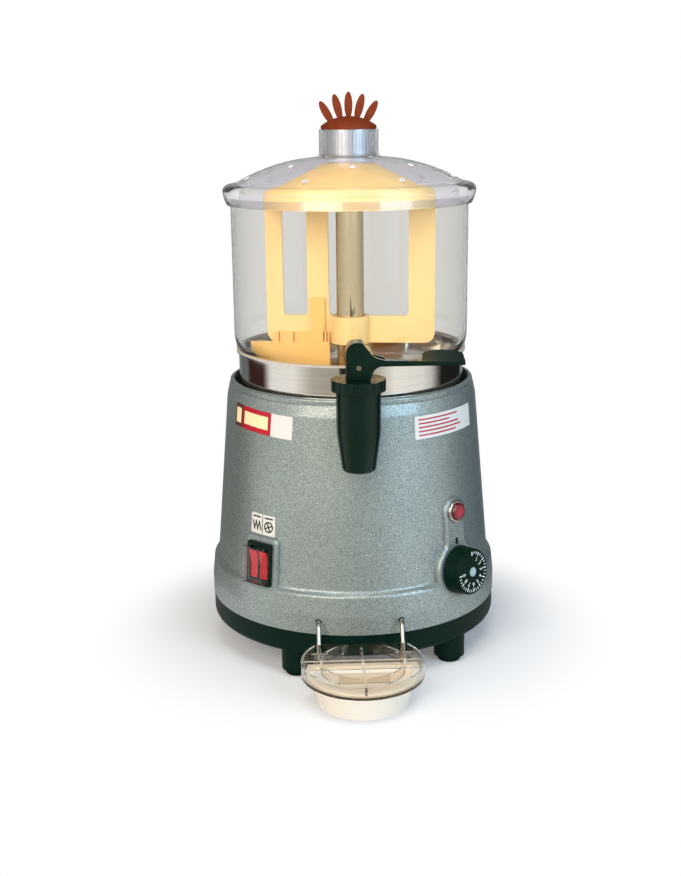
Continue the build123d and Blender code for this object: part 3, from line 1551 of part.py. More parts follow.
# Clear tray frame: a low wall and a ledge for the cup, with two slots open to the back for the wire's hooks
# and a web across each slot that sits in its hook
web_y = -hook_back - hook_throat / 2 + tray_axis
hook_slot = 2 * (hook_wire + hook_slot_gap)
with BuildPart() as drip_frame:
    with BuildSketch(tray_plane(tray_bottom)):
        cut_circle(tray_radius, tray_chord)
    extrude(amount=tray_height)
    with BuildSketch(tray_plane(tray_bottom + tray_ledge)):
        cut_circle(tray_radius - tray_wall, tray_chord - tray_wall)
    extrude(amount=tray_height, mode=Mode.SUBTRACT)
    with BuildSketch(tray_plane(tray_bottom)):
        cut_circle(cup_radius + seat_gap, cup_chord + seat_gap)
    extrude(amount=tray_ledge, mode=Mode.SUBTRACT)
    with BuildSketch(tray_plane(tray_bottom)):
        with GridLocations(hook_spread, 1, 2, 1):
            with Locations((0, web_y - hook_throat / 2 - hook_wire - hook_slot_gap)):
                Rectangle(hook_slot, tray_radius, align=(Align.CENTER, Align.MIN))
    extrude(amount=tray_height, mode=Mode.SUBTRACT)
    with BuildSketch(tray_plane(web_level)):
        with GridLocations(hook_spread, 1, 2, 1):
            with Locations((0, web_y)):
                Rectangle(hook_slot + 2 * hook_web_grip, hook_web)
    extrude(amount=tray_height / 2)
drip_frame.part.label = "drip_frame"
export_step(drip_frame.part, "parts/drip_frame.step")

# White cup that hangs in the frame by its flange
flange_level = tray_bottom + tray_ledge
with BuildPart() as drip_cup:
    with BuildSketch(tray_plane(flange_level)):
        cut_circle(cup_radius + cup_flange, cup_chord + cup_flange)
    extrude(amount=cup_wall)
    with BuildSketch(tray_plane(flange_level)):
        cut_circle(cup_radius, cup_chord)
    extrude(amount=-cup_depth + cup_wall, taper=cup_draft)
    with BuildSketch(tray_plane(flange_level + cup_wall)):
        cut_circle(cup_radius - cup_wall, cup_chord - cup_wall)
    extrude(amount=-cup_depth + cup_wall, taper=cup_draft, mode=Mode.SUBTRACT)
drip_cup.part.label = "drip_cup"
export_step(drip_cup.part, "parts/drip_cup.step")

# Clear grid: a ring and three bars on edge, resting on the cup's flange inside the frame
grid_level = flange_level + cup_wall
with BuildPart() as drip_grid:
    with BuildSketch(tray_plane(grid_level)):
        Circle(grid_ring + grid_bar / 2)
        Circle(grid_ring - grid_bar / 2, mode=Mode.SUBTRACT)
        Rectangle(grid_bar, 2 * tray_radius)
        Rectangle(2 * tray_radius, grid_bar)
        with Locations((0, -grid_front_bar)):
            Rectangle(2 * sqrt(grid_ring**2 - grid_front_bar**2), grid_bar)
    extrude(amount=tray_bottom + tray_height - grid_level)
    with BuildSketch(tray_plane(grid_level)):
        cut_circle(tray_radius - tray_wall - seat_gap, tray_chord - tray_wall - seat_gap)
    extrude(amount=tray_height, mode=Mode.INTERSECT)
drip_grid.part.label = "drip_grid"
export_step(drip_grid.part, "parts/drip_grid.step")
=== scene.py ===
# %% [markdown]
# # A hot chocolate dispenser
# The machine stands on a counter: a grey painted housing, a steel pan with a tap, a clear bowl with a
# yellow mixer, a domed lid and a small drip tray. Its solids come from CAD at their real size, so this
# lesson loads them as a fixed frame and spends its time on finishes, prints, light and the camera.
# The box of the solids is kept, and the rays that look for the housing and the lid start outside it.
# The box of the solids is kept, because what is added here must not make the machine larger.

# %% Load the frame
import json
import math

import bmesh
import bpy
from mathutils import Matrix, Vector


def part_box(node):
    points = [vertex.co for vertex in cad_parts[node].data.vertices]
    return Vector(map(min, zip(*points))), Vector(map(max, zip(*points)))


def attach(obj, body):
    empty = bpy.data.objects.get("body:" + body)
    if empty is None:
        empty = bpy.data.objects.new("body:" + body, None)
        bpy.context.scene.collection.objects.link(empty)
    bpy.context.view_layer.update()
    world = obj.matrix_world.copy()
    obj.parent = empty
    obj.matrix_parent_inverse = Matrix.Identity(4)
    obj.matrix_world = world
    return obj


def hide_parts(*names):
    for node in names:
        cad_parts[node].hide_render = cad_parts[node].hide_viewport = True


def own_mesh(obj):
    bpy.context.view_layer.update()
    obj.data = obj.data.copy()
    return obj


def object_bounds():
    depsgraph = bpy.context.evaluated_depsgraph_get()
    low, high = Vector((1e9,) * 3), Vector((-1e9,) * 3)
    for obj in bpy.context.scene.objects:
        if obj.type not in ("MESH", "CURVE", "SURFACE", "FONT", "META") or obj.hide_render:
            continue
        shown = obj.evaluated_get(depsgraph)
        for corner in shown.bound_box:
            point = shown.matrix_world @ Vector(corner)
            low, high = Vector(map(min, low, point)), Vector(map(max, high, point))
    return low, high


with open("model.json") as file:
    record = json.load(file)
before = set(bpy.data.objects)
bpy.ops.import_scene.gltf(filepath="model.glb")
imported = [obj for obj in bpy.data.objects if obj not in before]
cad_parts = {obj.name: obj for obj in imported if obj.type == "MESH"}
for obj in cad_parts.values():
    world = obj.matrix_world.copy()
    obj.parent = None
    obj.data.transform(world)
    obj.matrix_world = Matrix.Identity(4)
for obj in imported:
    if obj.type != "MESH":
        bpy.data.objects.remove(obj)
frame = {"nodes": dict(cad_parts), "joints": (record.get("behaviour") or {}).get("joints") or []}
cad_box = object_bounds()
nodes = frame["nodes"]
joints = {joint["name"]: joint for joint in frame["joints"]}
mm = 0.001
print("nodes", len(nodes), "box", [round(v, 4) for corner in cad_box for v in corner])

# %% [markdown]
# ## The camera
# A photograph of a small appliance is taken from a little above, with a lens of about 50 mm. The camera
# could be aimed with a constraint, but the other views move it freely, so its place and turn are set once:
# first the turn about the upright, then the tilt down, then the slight roll of a hand-held picture.

# %% Camera
photo_height_px = 876
focal_px = 1245
sensor_mm = 36
camera_distance = 1.102
camera_height = 0.4672
camera_side = math.radians(-2.5)
camera_pan = math.radians(0.53)
camera_pitch = math.radians(14.5)
camera_roll = math.radians(-0.7)

camera_data = bpy.data.cameras.new("camera")
camera_data.sensor_width = sensor_mm
camera_data.lens = sensor_mm * focal_px / photo_height_px
camera = bpy.data.objects.new("camera", camera_data)
camera_turn = (
    Matrix.Rotation(camera_side + camera_pan, 4, "Z")
    @ Matrix.Rotation(math.pi / 2 - camera_pitch, 4, "X")
    @ Matrix.Rotation(camera_roll, 4, "Z")
)
camera_place = Vector((
    camera_distance * math.sin(camera_side),
    -camera_distance * math.cos(camera_side),
    camera_height,
))
camera.matrix_world = Matrix.Translation(camera_place) @ camera_turn
bpy.context.scene.collection.objects.link(camera)
bpy.context.scene.camera = camera
print("camera lens", round(camera_data.lens, 1), "mm at", [round(v, 3) for v in camera_place])

# %% [markdown]
# ## Colours and nodes
# Colours are written as sRGB hex, the way a paint chart gives them, and Blender's sockets want linear
# values, so one function converts them. A second small function adds a shader node, sets it and links it,
# which keeps each finish below readable as a list of what it is made of. Textures use Object coordinates,
# because CAD solids have no UV map and their objects all sit at the origin.

# %% Helpers for finishes
def linear(code):
    """Linear colour, with alpha, of an sRGB hex such as #b4b8ae."""
    channels = [int(code[i:i + 2], 16) / 255 for i in (1, 3, 5)]
    return [c / 12.92 if c <= 0.04045 else ((c + 0.055) / 1.055) ** 2.4 for c in channels] + [1.0]


def add_node(tree, kind, inputs=None, **settings):
    """Adds a node; each input is a value or another node's output socket."""
    made = tree.nodes.new(kind)
    for name, value in settings.items():
        setattr(made, name, value)
    for socket, value in (inputs or {}).items():
        if isinstance(value, bpy.types.NodeSocket):
            tree.links.new(value, made.inputs[socket])
        else:
            made.inputs[socket].default_value = value
    return made


def new_finish(name, surface):
    """A material with its Principled shader, whose constant values are set on its own sockets."""
    finish = bpy.data.materials.new(name)
    finish.use_nodes = True
    tree = finish.node_tree
    shader = tree.nodes["Principled BSDF"]
    for socket, value in surface.items():
        shader.inputs[socket].default_value = value
    return finish, tree, shader


def per_size(size_mm):
    """Texture scale whose cells are this many millimetres across."""
    return 1 / (size_mm * mm)


def over_colour(finish, share, shade, blend="MIX"):
    """Lays a shade over a finish's own colour; the share is a value or another node's output socket."""
    tree = finish.node_tree
    own = tree.nodes["Principled BSDF"].inputs["Base Color"]
    laid = add_node(
        tree, "ShaderNodeMix", {"Factor": share, "A": own.links[0].from_socket, "B": shade},
        data_type="RGBA", blend_type=blend,
    )
    tree.links.new(laid.outputs["Result"], own)


def dress(finish, *names):
    """Gives CAD nodes a finish."""
    for name in names:
        nodes[name].data.materials.clear()
        nodes[name].data.materials.append(finish)
    print(finish.name, "on", ", ".join(names))


# %% [markdown]
# ## Moulded, cast and rubber finishes
# Most of the machine's small pieces are moulded: their colour is even, with faint cloudy patches, and their
# gloss is broken by a fine grain from the mould. One finish function takes two near shades, the size of the
# patches and of the grain, and how deep the grain is. The grain is drawn a little coarser than the real one,
# which would be too fine to show at this distance.

# %% Moulded finish
gloss_spread = 0.06


def moulded(name, dark, light, patch_mm, grain_mm, depth_mm, rough, surface=None):
    """Two near shades in soft patches, under a fine grain that breaks up the gloss."""
    finish, tree, shader = new_finish(name, surface or {})
    where = add_node(tree, "ShaderNodeTexCoord").outputs["Object"]
    patches = add_node(
        tree, "ShaderNodeTexNoise", {"Vector": where, "Scale": per_size(patch_mm), "Detail": 4.0}
    )
    grain = add_node(
        tree, "ShaderNodeTexNoise", {"Vector": where, "Scale": per_size(grain_mm), "Detail": 2.0}
    )
    shade = add_node(
        tree, "ShaderNodeMix", {"Factor": patches.outputs["Fac"], "A": linear(dark), "B": linear(light)},
        data_type="RGBA",
    )
    gloss = add_node(
        tree, "ShaderNodeMapRange",
        {
            "Value": grain.outputs["Fac"], "From Min": 0.3, "From Max": 0.7,
            "To Min": rough - gloss_spread, "To Max": rough + gloss_spread,
        },
    )
    bump = add_node(
        tree, "ShaderNodeBump", {"Height": grain.outputs["Fac"], "Distance": depth_mm * mm, "Strength": 1.0}
    )
    tree.links.new(shade.outputs["Result"], shader.inputs["Base Color"])
    tree.links.new(gloss.outputs["Result"], shader.inputs["Roughness"])
    tree.links.new(bump.outputs["Normal"], shader.inputs["Normal"])
    return finish


# %% [markdown]
# ## Black pieces
# The base, the tap and the switch are black plastic with a green cast. The base is matt, the tap is smoother
# from handling, and the rubber of the feet and seals is the dullest.

# %% Black plastics and rubber
dull = {"Specular IOR Level": 0.08}
satin = {"Specular IOR Level": 0.14}
handled = {"Specular IOR Level": 0.2}
black_base = moulded("black_abs_base", "#02170f", "#042218", 30, 0.9, 0.03, 0.46, dull)
black_tap = moulded("black_acetal_tap", "#02170e", "#042117", 18, 0.7, 0.012, 0.2, handled)
black_dial = moulded("black_phenolic_dial", "#01160e", "#032117", 12, 0.6, 0.02, 0.36, dull)
black_switch = moulded("black_nylon_switch", "#02140d", "#041d15", 12, 0.5, 0.015, 0.38, satin)
black_rubber = moulded("black_rubber", "#03100b", "#071913", 9, 0.6, 0.05, 0.72, dull)
silicone_seal = moulded("food_silicone", "#b9aca0", "#cfc4b8", 9, 0.6, 0.03, 0.5)
dress(black_base, "base_pan", "cable_gland")
dress(black_tap, "tap_body", "tap_nut", "tap_lever", "tap_piston")
dress(black_dial, "dial")
dress(black_switch, "switch_body", "terminal_block")
dress(black_rubber, "feet", "tank_gasket", "tap_oring", "piston_orings")
dress(silicone_seal, "bowl_seal")

# %% [markdown]
# ## Housing paint
# The housing is sheet metal under a silver hammered paint: aluminium flakes gather in specks about a
# millimetre wide, some lighter and some darker, on a grey with a hint of green. Two noises give the specks
# and a slow drift of the tone, and the same specks lift the surface a little, so that highlights sparkle.

# %% Hammered paint
speck_mm = 0.95
speck_depth_mm = 0.03
drift_mm = 45
hammered, tree, shader = new_finish(
    "hammered_silver_paint", {"Metallic": 0.6, "Coat Weight": 0.3, "Coat Roughness": 0.2}
)
where = add_node(tree, "ShaderNodeTexCoord").outputs["Object"]
specks = add_node(
    tree, "ShaderNodeTexNoise",
    {"Vector": where, "Scale": per_size(speck_mm), "Detail": 1.5, "Roughness": 0.6},
)
drift = add_node(tree, "ShaderNodeTexNoise", {"Vector": where, "Scale": per_size(drift_mm), "Detail": 2.0})
shades = add_node(tree, "ShaderNodeValToRGB", {"Fac": specks.outputs["Fac"]})
shades.color_ramp.elements[0].position = 0.34
shades.color_ramp.elements[0].color = linear("#76807c")
shades.color_ramp.elements[1].position = 0.68
shades.color_ramp.elements[1].color = linear("#b2bab6")
tone = add_node(
    tree, "ShaderNodeMix", {"Factor": drift.outputs["Fac"], "A": linear("#e6e9e8"), "B": linear("#ffffff")},
    data_type="RGBA",
)
paint = add_node(
    tree, "ShaderNodeMix", {"Factor": 1.0, "A": shades.outputs["Color"], "B": tone.outputs["Result"]},
    data_type="RGBA", blend_type="MULTIPLY",
)
sheen = add_node(
    tree, "ShaderNodeMapRange",
    {"Value": specks.outputs["Fac"], "From Min": 0.3, "From Max": 0.7, "To Min": 0.5, "To Max": 0.34},
)
bumps = add_node(
    tree, "ShaderNodeBump",
    {"Height": specks.outputs["Fac"], "Distance": speck_depth_mm * mm, "Strength": 1.0},
)
tree.links.new(paint.outputs["Result"], shader.inputs["Base Color"])
tree.links.new(sheen.outputs["Result"], shader.inputs["Roughness"])
tree.links.new(bumps.outputs["Normal"], shader.inputs["Normal"])
dress(hammered, "outer_shell")

# %% [markdown]
# ## Steel and plated metals
# The pan and its tube are polished stainless steel, the wire is chromed, the parts inside are zinc plated.
# A metal's colour is its reflection, so the finish is mostly roughness. Stretching a noise along one axis
# draws the fine lines that polishing leaves: stretched flat for turned work, upright for a drawn tube.

# %% Metal finish
smear_mm = 24


def metal(name, dark, light, line_mm, stretch, rough, depth_mm):
    """A worked metal whose polishing lines run along the axis with the small stretch."""
    finish, tree, shader = new_finish(name, {"Metallic": 1.0})
    where = add_node(tree, "ShaderNodeTexCoord").outputs["Object"]
    drawn = add_node(tree, "ShaderNodeMapping", {"Vector": where, "Scale": stretch})
    lines = add_node(
        tree, "ShaderNodeTexNoise",
        {"Vector": drawn.outputs["Vector"], "Scale": per_size(line_mm), "Detail": 3.0},
    )
    smears = add_node(
        tree, "ShaderNodeTexNoise", {"Vector": where, "Scale": per_size(smear_mm), "Detail": 3.0}
    )
    shade = add_node(
        tree, "ShaderNodeMix", {"Factor": lines.outputs["Fac"], "A": linear(dark), "B": linear(light)},
        data_type="RGBA",
    )
    gloss = add_node(
        tree, "ShaderNodeMapRange",
        {
            "Value": smears.outputs["Fac"], "From Min": 0.3, "From Max": 0.7,
            "To Min": rough * 0.75, "To Max": rough * 1.3,
        },
    )
    bump = add_node(
        tree, "ShaderNodeBump", {"Height": lines.outputs["Fac"], "Distance": depth_mm * mm, "Strength": 1.0}
    )
    tree.links.new(shade.outputs["Result"], shader.inputs["Base Color"])
    tree.links.new(gloss.outputs["Result"], shader.inputs["Roughness"])
    tree.links.new(bump.outputs["Normal"], shader.inputs["Normal"])
    return finish


# %% Metals of the machine
turned = (0.05, 0.05, 1.0)
upright = (1.0, 1.0, 0.05)
even = (1.0, 1.0, 1.0)
polished_steel = metal("polished_stainless_steel", "#d8d2c8", "#ece7de", 2.0, turned, 0.09, 0.0005)
bath_steel = metal("drawn_stainless_steel", "#b5b3ae", "#d2d0cb", 0.8, turned, 0.24, 0.004)
chrome_wire = metal("chromed_wire", "#8f8a80", "#b5b0a6", 1.5, upright, 0.14, 0.002)
chrome_ring = metal("chromed_brass", "#a8a49b", "#c8c4bb", 0.8, even, 0.1, 0.002)
silver_sleeve = metal("brushed_aluminium", "#999b9d", "#bcbec0", 1.2, upright, 0.4, 0.01)
zinc = metal("zinc_plate", "#9fa3a3", "#c3c5c2", 5, even, 0.34, 0.01)
ground_shaft = metal("ground_steel", "#a9a9a7", "#c8c8c5", 0.5, turned, 0.2, 0.003)
sintered_bronze = metal("sintered_bronze", "#8a6436", "#b98f56", 0.6, even, 0.42, 0.02)
copper = metal("copper_tube", "#a5603f", "#cf8a61", 2, even, 0.3, 0.006)
heater_sheath = metal("heater_sheath", "#6d6a66", "#8f8b85", 2, even, 0.4, 0.01)
grey_cast = moulded("grey_painted_motor", "#5d6468", "#70777b", 20, 1.2, 0.05, 0.45, {"Metallic": 0.2})
dress(polished_steel, "pan")
dress(bath_steel, "water_tank")
dress(chrome_wire, "tray_hook", "lever_pin")
dress(chrome_ring, "lamp_ring")
dress(silver_sleeve, "neck_sleeve")
dress(zinc, "motor_bracket", "motor_screws", "bracket_screws", "heater_nuts", "shaft_coupling")
dress(zinc, "thermostat_body")
dress(ground_shaft, "drive_shaft", "output_shaft", "thermostat_spindle", "tap_spring")
dress(sintered_bronze, "shaft_bushes")
dress(copper, "thermostat_capillary")
dress(heater_sheath, "heater_element")
dress(grey_cast, "gear_motor")

# %% [markdown]
# ### Painted reflection on the tube in the pan
# The tube in the middle of the pan mirrors the yellow mixer that stands round it, and that warm reflection is
# painted into its colour: pale along its middle, with painted shade at its sides. It is one solid with the
# pan, and a second material would need its faces picked out. Nodes can find it instead, by the distance from
# the upright axis, and Layer Weight knows which parts of a round tube turn away.

# %% Painted warm reflection on the tube of the pan
tube_reach = 13.5 * mm
tree = polished_steel.node_tree
where = add_node(tree, "ShaderNodeTexCoord").outputs["Object"]
level = add_node(tree, "ShaderNodeVectorMath", {0: where, 1: (1, 1, 0)}, operation="MULTIPLY")
reach = add_node(tree, "ShaderNodeVectorMath", {0: level.outputs["Vector"]}, operation="LENGTH")
inside = add_node(tree, "ShaderNodeMath", {0: reach.outputs["Value"], 1: tube_reach}, operation="LESS_THAN")
round_edge = add_node(tree, "ShaderNodeLayerWeight", {"Blend": 0.5})
# Painted reflection: warm and pale where the tube faces the viewer, painted shade where it turns away.
tube_painted_reflection = add_node(
    tree, "ShaderNodeMix",
    {"Factor": round_edge.outputs["Facing"], "A": linear("#eeddb4"), "B": linear("#5a4f3c")},
    data_type="RGBA",
)
over_colour(polished_steel, inside.outputs["Value"], tube_painted_reflection.outputs["Result"])
print("tube within", round(tube_reach / mm, 1), "mm of the axis")

# %% [markdown]
# ### Painted lines on the sleeve
# The silver sleeve is brushed upright, and it is seen through the lid's ribbed clear neck, which lays fine
# upright lines of light and shade over it. These lines are painted shade: a noise alone looks cloudy on so
# small a piece, so a sine of the angle round the axis darkens even lines in the sleeve's colour.

# %% Painted rib lines of the sleeve
painted_rib_lines = 48
painted_rib_shade = 0.72
tree = silver_sleeve.node_tree
where = add_node(tree, "ShaderNodeTexCoord").outputs["Object"]
split = add_node(tree, "ShaderNodeSeparateXYZ", {"Vector": where})
around = add_node(
    tree, "ShaderNodeMath", {0: split.outputs["Y"], 1: split.outputs["X"]}, operation="ARCTAN2"
)
waves = add_node(tree, "ShaderNodeMath", {0: around.outputs["Value"], 1: painted_rib_lines}, operation="MULTIPLY")
wave = add_node(tree, "ShaderNodeMath", {0: waves.outputs["Value"]}, operation="SINE")
# Painted shade in even upright lines, for the ribs of the clear neck around the sleeve.
rib_painted_shade = add_node(
    tree, "ShaderNodeMapRange",
    {"Value": wave.outputs["Value"], "From Min": -1.0, "To Min": painted_rib_shade, "To Max": 1.0},
)
over_colour(silver_sleeve, 1.0, rib_painted_shade.outputs["Result"], "MULTIPLY")
print("sleeve lines", painted_rib_lines)

# %% [markdown]
# ## Clear plastics
# The bowl and the lid are moulded in clear polycarbonate, with a grey tint and a surface that is never quite
# flat. A wall this thin hardly shifts what is seen through it, so the shader's index is kept low, and a clear
# coat with the plastic's own index gives its gloss back. A glass shader alone would throw a black shadow,
# because lamps can't see through it, so for shadow rays it is mixed with a plain transparent shader. The
# bowl's wall also takes up a little light on the long way through its edges, and the lid's gloss is duller.

# %% Clear plastic finish
thin_wall_index = 1.15
plastic_index = 1.49


def clear_plastic(name, tint, wave_mm, depth_mm, rough, smoke=0.0, coat=0.8, coat_rough=0.04):
    """A clear plastic with slow waves in its surface; smoke darkens the long way through its edges."""
    finish, tree, shader = new_finish(
        name,
        {
            "Base Color": linear(tint), "Transmission Weight": 1.0, "IOR": thin_wall_index,
            "Coat Weight": coat, "Coat IOR": plastic_index, "Coat Roughness": coat_rough,
        },
    )
    where = add_node(tree, "ShaderNodeTexCoord").outputs["Object"]
    waves = add_node(tree, "ShaderNodeTexNoise", {"Vector": where, "Scale": per_size(wave_mm), "Detail": 1.0})
    haze = add_node(
        tree, "ShaderNodeTexNoise", {"Vector": where, "Scale": per_size(wave_mm / 4), "Detail": 3.0}
    )
    gloss = add_node(
        tree, "ShaderNodeMapRange",
        {
            "Value": haze.outputs["Fac"], "From Min": 0.35, "From Max": 0.75,
            "To Min": rough, "To Max": rough * 3,
        },
    )
    bump = add_node(
        tree, "ShaderNodeBump", {"Height": waves.outputs["Fac"], "Distance": depth_mm * mm, "Strength": 1.0}
    )
    tree.links.new(gloss.outputs["Result"], shader.inputs["Roughness"])
    tree.links.new(bump.outputs["Normal"], shader.inputs["Normal"])
    through = add_node(tree, "ShaderNodeBsdfTransparent", {"Color": linear("#f6f6f6")})
    path = add_node(tree, "ShaderNodeLightPath")
    mix = add_node(
        tree, "ShaderNodeMixShader",
        {"Fac": path.outputs["Is Shadow Ray"], 1: shader.outputs["BSDF"], 2: through.outputs["BSDF"]},
    )
    tree.links.new(mix.outputs["Shader"], tree.nodes["Material Output"].inputs["Surface"])
    if smoke:
        body = add_node(tree, "ShaderNodeVolumeAbsorption", {"Color": linear("#b4b8b8"), "Density": smoke})
        tree.links.new(body.outputs["Volume"], tree.nodes["Material Output"].inputs["Volume"])
    return finish


# %% Clear pieces
clear_bowl = clear_plastic("clear_polycarbonate_bowl", "#eeedea", 30, 0.08, 0.01, smoke=24.0)
clear_lid = clear_plastic("clear_polycarbonate_lid", "#efeef1", 22, 0.08, 0.012, coat_rough=0.28)
clear_tray = clear_plastic("clear_styrene_tray", "#ebe3d8", 14, 0.08, 0.015)
clear_cover = clear_plastic("clear_switch_cover", "#f8f0f0", 9, 0.03, 0.01, coat=0.4)
dress(clear_bowl, "bowl")
dress(clear_lid, "lid")
dress(clear_tray, "drip_frame", "drip_grid")
dress(clear_cover, "switch_cover")

# %% [markdown]
# ## Coloured plastics
# The mixer and its scraper are moulded in warm yellow food plastic, the cap on the knob in chocolate brown
# with a dusty bloom, the drip cup in cream. A little subsurface scattering lets light soak into them. The
# rockers and the lamp's lens are clear red, so they let light through as coloured glass does.

# %% Coloured plastics
soft = {"Subsurface Weight": 0.15, "Subsurface Radius": (0.006, 0.004, 0.002), "Subsurface Scale": 1.0}
mixer_yellow = moulded("yellow_polypropylene", "#f0c67c", "#f5d08a", 26, 1.4, 0.02, 0.42, soft)
scraper_yellow = moulded("amber_polypropylene", "#f2b656", "#f7c26a", 20, 1.2, 0.02, 0.42, soft)
cap_brown = moulded("brown_cap_plastic", "#682814", "#8a3d1e", 5, 0.8, 0.06, 0.55, dull)
cup_cream = moulded(
    "cream_polystyrene", "#dcd2c3", "#e6dccf", 24, 1.0, 0.01, 0.35,
    {"Subsurface Weight": 0.2, "Subsurface Radius": (0.006, 0.005, 0.004), "Subsurface Scale": 1.0},
)
cap_grey = moulded("grey_dial_cap", "#8fa3a5", "#a9babb", 3, 0.4, 0.01, 0.4)
phenolic_brown = moulded("brown_phenolic", "#3a2016", "#4c2c1f", 6, 0.5, 0.02, 0.4)
rocker_red = moulded(
    "clear_red_rocker", "#930a15", "#b81722", 5, 1.0, 0.02, 0.16,
    {
        "Transmission Weight": 0.15, "IOR": plastic_index, "Specular IOR Level": 0.3,
        "Emission Color": linear("#ff1c26"), "Emission Strength": 0.02,
    },
)
lens_red = moulded(
    "clear_red_lens", "#8e0d1a", "#b41826", 4, 0.9, 0.05, 0.1,
    {"Transmission Weight": 0.3, "IOR": plastic_index, "Coat Weight": 0.6, "Coat Roughness": 0.03},
)
dress(mixer_yellow, "mixer")
dress(scraper_yellow, "scraper")
dress(cap_brown, "knob_cap")
dress(cup_cream, "drip_cup")
dress(cap_grey, "dial_cap")
dress(phenolic_brown, "safety_thermostat")
dress(rocker_red, "rocker_left", "rocker_right")
dress(lens_red, "lamp_lens")

# %% [markdown]
# ### The lamp's lens
# The lens is lit from behind, so it is brightest at its tip and dark towards its ring. An emission would
# shine the same from all over it, so a colour ramp by the distance from the tip is laid over the red. The
# lamp leans with the housing as the dial does, and the dial's axis finds the tip among the lens's points.

# %% Glow of the lens
lens_reach = 7.0 * mm
tip_depth = 0.1 * mm
glow_share = 0.75
lens_axis = Vector(joints["dial_turn"]["axis"])
lens_points = [vert.co for vert in nodes["lamp_lens"].data.vertices]
lens_front = max(point.dot(lens_axis) for point in lens_points)
lens_top = [point for point in lens_points if point.dot(lens_axis) > lens_front - tip_depth]
lens_tip = sum(lens_top, Vector()) / len(lens_top)
tree = lens_red.node_tree
where = add_node(tree, "ShaderNodeTexCoord").outputs["Object"]
off_tip = add_node(tree, "ShaderNodeVectorMath", {0: where, 1: lens_tip}, operation="DISTANCE")
spread = add_node(tree, "ShaderNodeMapRange", {"Value": off_tip.outputs["Value"], "From Max": lens_reach})
glow = add_node(tree, "ShaderNodeValToRGB", {"Fac": spread.outputs["Result"]})
glow.color_ramp.elements[0].color = linear("#ef2440")
glow.color_ramp.elements[1].color = linear("#4a060c")
over_colour(lens_red, glow_share, glow.outputs["Color"])
print("lens tip at", [round(v, 4) for v in lens_tip])

# %% [markdown]
# ## Printed plates
# Thin printed plates are stuck to the housing's leaning wall. They could be flat boards, but the wall is
# round and their ends would stand off it. So each plate is drawn flat, given its thickness, and wrapped: a
# ray finds the wall under each of its points. The plates carry plain fields and lines of colour only.

# %% Wrapping on the housing
plate_mm = 0.25
housing = nodes["outer_shell"]
housing_reach = 2 * max(cad_box[1].x, cad_box[1].z)


def on_housing(angle, height, lift):
    """Point above the painted wall at an angle from the front and a height, lifted off the wall."""
    out = Vector((math.sin(angle), -math.cos(angle), 0))
    point, normal = housing.ray_cast(out * housing_reach + Vector((0, 0, height)), -out)[1:3]
    return point + normal * lift


def wrap(bm, angle, height):
    """Wraps a flat drawing, x along and y up, round the housing with its origin at this angle and height."""
    reach = on_housing(angle, height, 0).xy.length
    for vert in bm.verts:
        vert.co = on_housing(angle + vert.co.x / reach, height + vert.co.y, vert.co.z)


def finish_piece(bm, name, finish, body, stands_for=()):
    """Makes an object of a bmesh, and says what it rides on and the nodes that it stands for."""
    mesh = bpy.data.meshes.new(name)
    bm.to_mesh(mesh)
    bm.free()
    mesh.materials.append(finish)
    piece = bpy.data.objects.new(name, mesh)
    bpy.context.scene.collection.objects.link(piece)
    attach(piece, body)
    if stands_for:
        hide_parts(*stands_for)
    print("piece", name, len(mesh.polygons), "faces")
    return piece


# %% Bars and plates
bend_mm = 3


def linked(verts, kind):
    """The edges or faces at some points, each once and in a fixed order."""
    return list(dict.fromkeys(item for vert in verts for item in getattr(vert, kind)))


def thicken(bm, faces, thickness):
    """Raises flat faces by a thickness, with walls round them; gives the raised points."""
    raised = bmesh.ops.extrude_face_region(bm, geom=faces, use_keep_orig=True)
    lifted = [item for item in raised["geom"] if isinstance(item, bmesh.types.BMVert)]
    bmesh.ops.translate(bm, vec=(0, 0, thickness), verts=lifted)
    return lifted


def add_bar(bm, x, y, width, height, base, thickness, turn=0.0):
    """Adds a flat bar to a drawing, centred on x and y, fine enough along x to bend; sizes in millimetres."""
    segments = max(1, round(width / bend_mm))
    made = bmesh.ops.create_grid(bm, x_segments=segments, y_segments=1, size=0.5)
    bmesh.ops.scale(bm, vec=(width * mm, height * mm, 1), verts=made["verts"])
    bmesh.ops.rotate(bm, matrix=Matrix.Rotation(turn, 3, "Z"), verts=made["verts"])
    bmesh.ops.translate(bm, vec=(x * mm, y * mm, base * mm), verts=made["verts"])
    thicken(bm, linked(made["verts"], "link_faces"), thickness * mm)


def print_plate(name, angle_deg, height_mm, bars, base_mm, finish, tilt_deg=0.0):
    """A printed plate made of bars, each (x, y, width, height) in millimetres, wrapped on the housing."""
    bm = bmesh.new()
    for bar in bars:
        add_bar(bm, *bar, base=base_mm, thickness=plate_mm)
    bmesh.ops.rotate(bm, matrix=Matrix.Rotation(math.radians(tilt_deg), 3, "Z"), verts=bm.verts)
    bmesh.ops.recalc_face_normals(bm, faces=bm.faces)
    wrap(bm, math.radians(angle_deg), height_mm * mm)
    return finish_piece(bm, name, finish, "base")


# %% [markdown]
# ### Plates by the tap
# The left plate has a dark end, a red field with cream panels and a white end, the right one red lines on
# white. They could be pictures on one board, but each colour as a thin layer of its own keeps sharp edges at
# any distance. The panels and lines lie one layer higher than their ground.

